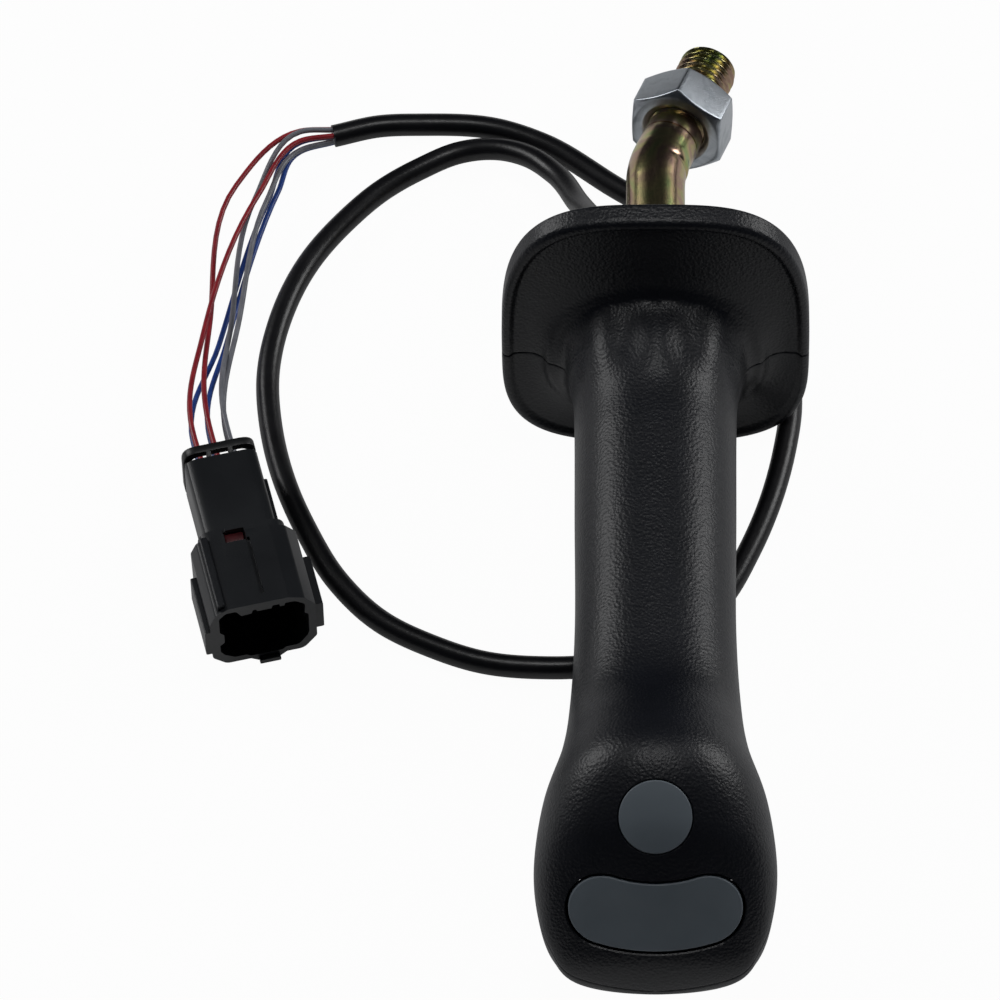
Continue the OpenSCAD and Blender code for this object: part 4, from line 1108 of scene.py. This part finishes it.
def makeHolder():
    rw, rh, plate = connector["rearWidth"], connector["rearHeight"], connector["plate"]
    holder = bar("connectorHolder", roundedBox(rw, rh, 3.6), 0, plate, holderPbt)
    combine(holder, bar("opening", roundedBox(rw - 3.4, rh - 3.4, 2.4), -1, plate + 2), "DIFFERENCE")
    for x in (-rw / 2 + 0.9, -2.6, 2.6, rw / 2 - 0.9):
        for side in (-1, 1):
            y = side * (rh / 2 - (3.6 if abs(x) > 5 else 0.75))
            outline, stop = roundedBox(1.2, 1.4, 0.2, x, y), plate + connector["slotGap"]
            combine(holder, bar("post", outline, plate - 0.5, stop, holderPbt), "UNION")
    return softenEdges(holder, 0.22, 2, 40)


finishPiece(makeHolder(), "grip", "connector", "connector_rear_holder")
x, y = connector["lockX"], connector["shroudHeight"] / 2
outline = roundedBox(4.5, 3.2, 0.4, x, y - 4.1)
lock = bar("connectorLock", outline, shroudStart - 1.4, shroudStart + 1.7, lockPbt)
finishPiece(softenEdges(lock, 0.25, 2, 40), "grip", "lock", "connector_lock")
print("connector made")


# Cable grommet: a tapered sleeve behind the hand rest.
cableFrame = shift @ moved(cableShape["x"], 0, seamZ + cableShape["up"]) @ turned(-90, "X")
sleeve = [(2.78, -4), (4.33, -4), (4.33, 2.2), (4.95, 2.4), (4.95, 3.3), (4.5, 3.6), (2.78, 3.6)]
grommet = lathe("cableGrommet", sleeve, cableFrame, grommetRubber, 72, False)
outwards(grommet)
finishPiece(softenEdges(grommet, 0.15, 2, 40), "grip", "rubber", "cable_grommet")


# Shell screws, laid out by Geometry Nodes on the boss sites.
screw = {"head": 6.6, "headHeight": 2.4, "shank": 2.9, "length": 21.5, "recess": 1.15, "recessArm": 3.6}


def makeScrew():
    r, h, seat = screw["head"] / 2, screw["headHeight"], insides["screwSeat"]
    crown = [(r * sin(a), seat - h + 0.7 * (1 - cos(a))) for a in np.linspace(0.12, pi / 2, 7)]
    shank, tip = screw["shank"] / 2, seat + screw["length"]
    profile = crown + [(r, seat), (shank, seat), (shank, tip - 1.2), (0.3, tip)]
    body = lathe("screwPattern", profile, Matrix.Identity(4), plainSteel, 48)
    outwards(body)
    for turn in (0, pi / 2):
        arm = prism("arm", roundedBox(screw["recessArm"], screw["recess"], 0.2), seat - h - 1, seat - h + 1.3,
                    Matrix.Rotation(turn, 4, "Z"), plainSteel)
        cut(body, arm)
    smoothEdges(body, 35)
    return body


def screwTree(pattern):
    tree = bpy.data.node_groups.new("screwSites", "GeometryNodeTree")
    for name, kind, low in (("Geometry", "NodeSocketGeometry", None), ("Pattern", "NodeSocketObject", None),
                            ("Size", "NodeSocketFloat", 1.0), ("Turn", "NodeSocketFloat", 0.6),
                            ("Finish", "NodeSocketMaterial", None)):
        socket = tree.interface.new_socket(name, in_out="INPUT", socket_type=kind)
        if low is not None:
            socket.default_value = low
    tree.interface.new_socket("Geometry", in_out="OUTPUT", socket_type="NodeSocketGeometry")
    given = addNode(tree, "NodeGroupInput").outputs
    shape = addNode(tree, "GeometryNodeObjectInfo", links={"Object": given["Pattern"]})
    order = addNode(tree, "GeometryNodeInputIndex")
    angle = addNode(tree, "ShaderNodeMath", {"operation": "MULTIPLY"},
                    links={0: order.outputs[0], 1: given["Turn"]})
    spin = addNode(tree, "ShaderNodeCombineXYZ", links={"Z": angle.outputs[0]})
    placed = addNode(tree, "GeometryNodeInstanceOnPoints",
                     links={"Points": given["Geometry"], "Instance": shape.outputs["Geometry"],
                            "Rotation": spin.outputs[0], "Scale": given["Size"]})
    real = addNode(tree, "GeometryNodeRealizeInstances", links={0: placed.outputs[0]})
    coat = addNode(tree, "GeometryNodeSetMaterial",
                   links={"Geometry": real.outputs[0], "Material": given["Finish"]})
    addNode(tree, "NodeGroupOutput", links={"Geometry": coat.outputs[0]})
    return tree


def makeShellScrews():
    pattern = makeScrew()
    mesh = bpy.data.meshes.new("screwSites")
    mesh.from_pydata([(shift @ Vector((x, -d, 0))) * mm for x, d in insides["screwSites"]], [], [])
    sites = bpy.data.objects.new("shellScrews", mesh)
    bpy.context.scene.collection.objects.link(sites)
    tree = screwTree(pattern)
    step = sites.modifiers.new("screws", "NODES")
    step.node_group = tree
    names = {item.name: item.identifier for item in tree.interface.items_tree if item.in_out == "INPUT"}
    step[names["Pattern"]] = pattern
    step[names["Size"]] = 1.0
    step[names["Turn"]] = 0.7
    step[names["Finish"]] = plainSteel
    applyModifiers(sites)
    bpy.data.objects.remove(pattern)
    smoothEdges(sites, 35)
    return sites


finishPiece(makeShellScrews(), "grip", "steel", "shell_screws")
print("grommet and screws made")


# Finishes of the solids that stay.
solidFinishes = {
    "rod_cross_pin": plainSteel, "rocker_pivot_pin": plainSteel, "carrier_screws": plainSteel,
    "switch_carrier": carrierNylon, "button_microswitch": switchPhenolic,
    "rocker_microswitch_left": switchPhenolic, "rocker_microswitch_right": switchPhenolic,
    "rocker_plunger_left": plungerAcetal, "rocker_plunger_right": plungerAcetal,
    "inner_cable": cablePvc, "inner_leads": leadPvc, "connector_pins": tinBrass, "wire_seals": sealSilicone,
}
for node, finish in solidFinishes.items():
    obj = bpy.data.objects[node]
    for slotOfNode in obj.material_slots:
        slotOfNode.material = finish


finishPiece(signalCable, "grip", "cable", "signal_cable")
curveLength(cablePoints) * mm
for node, (wire, points, tint) in wires.items():
    finishPiece(wire, "grip", tint, node)
    curveLength(points) * mm

print("all pieces made")
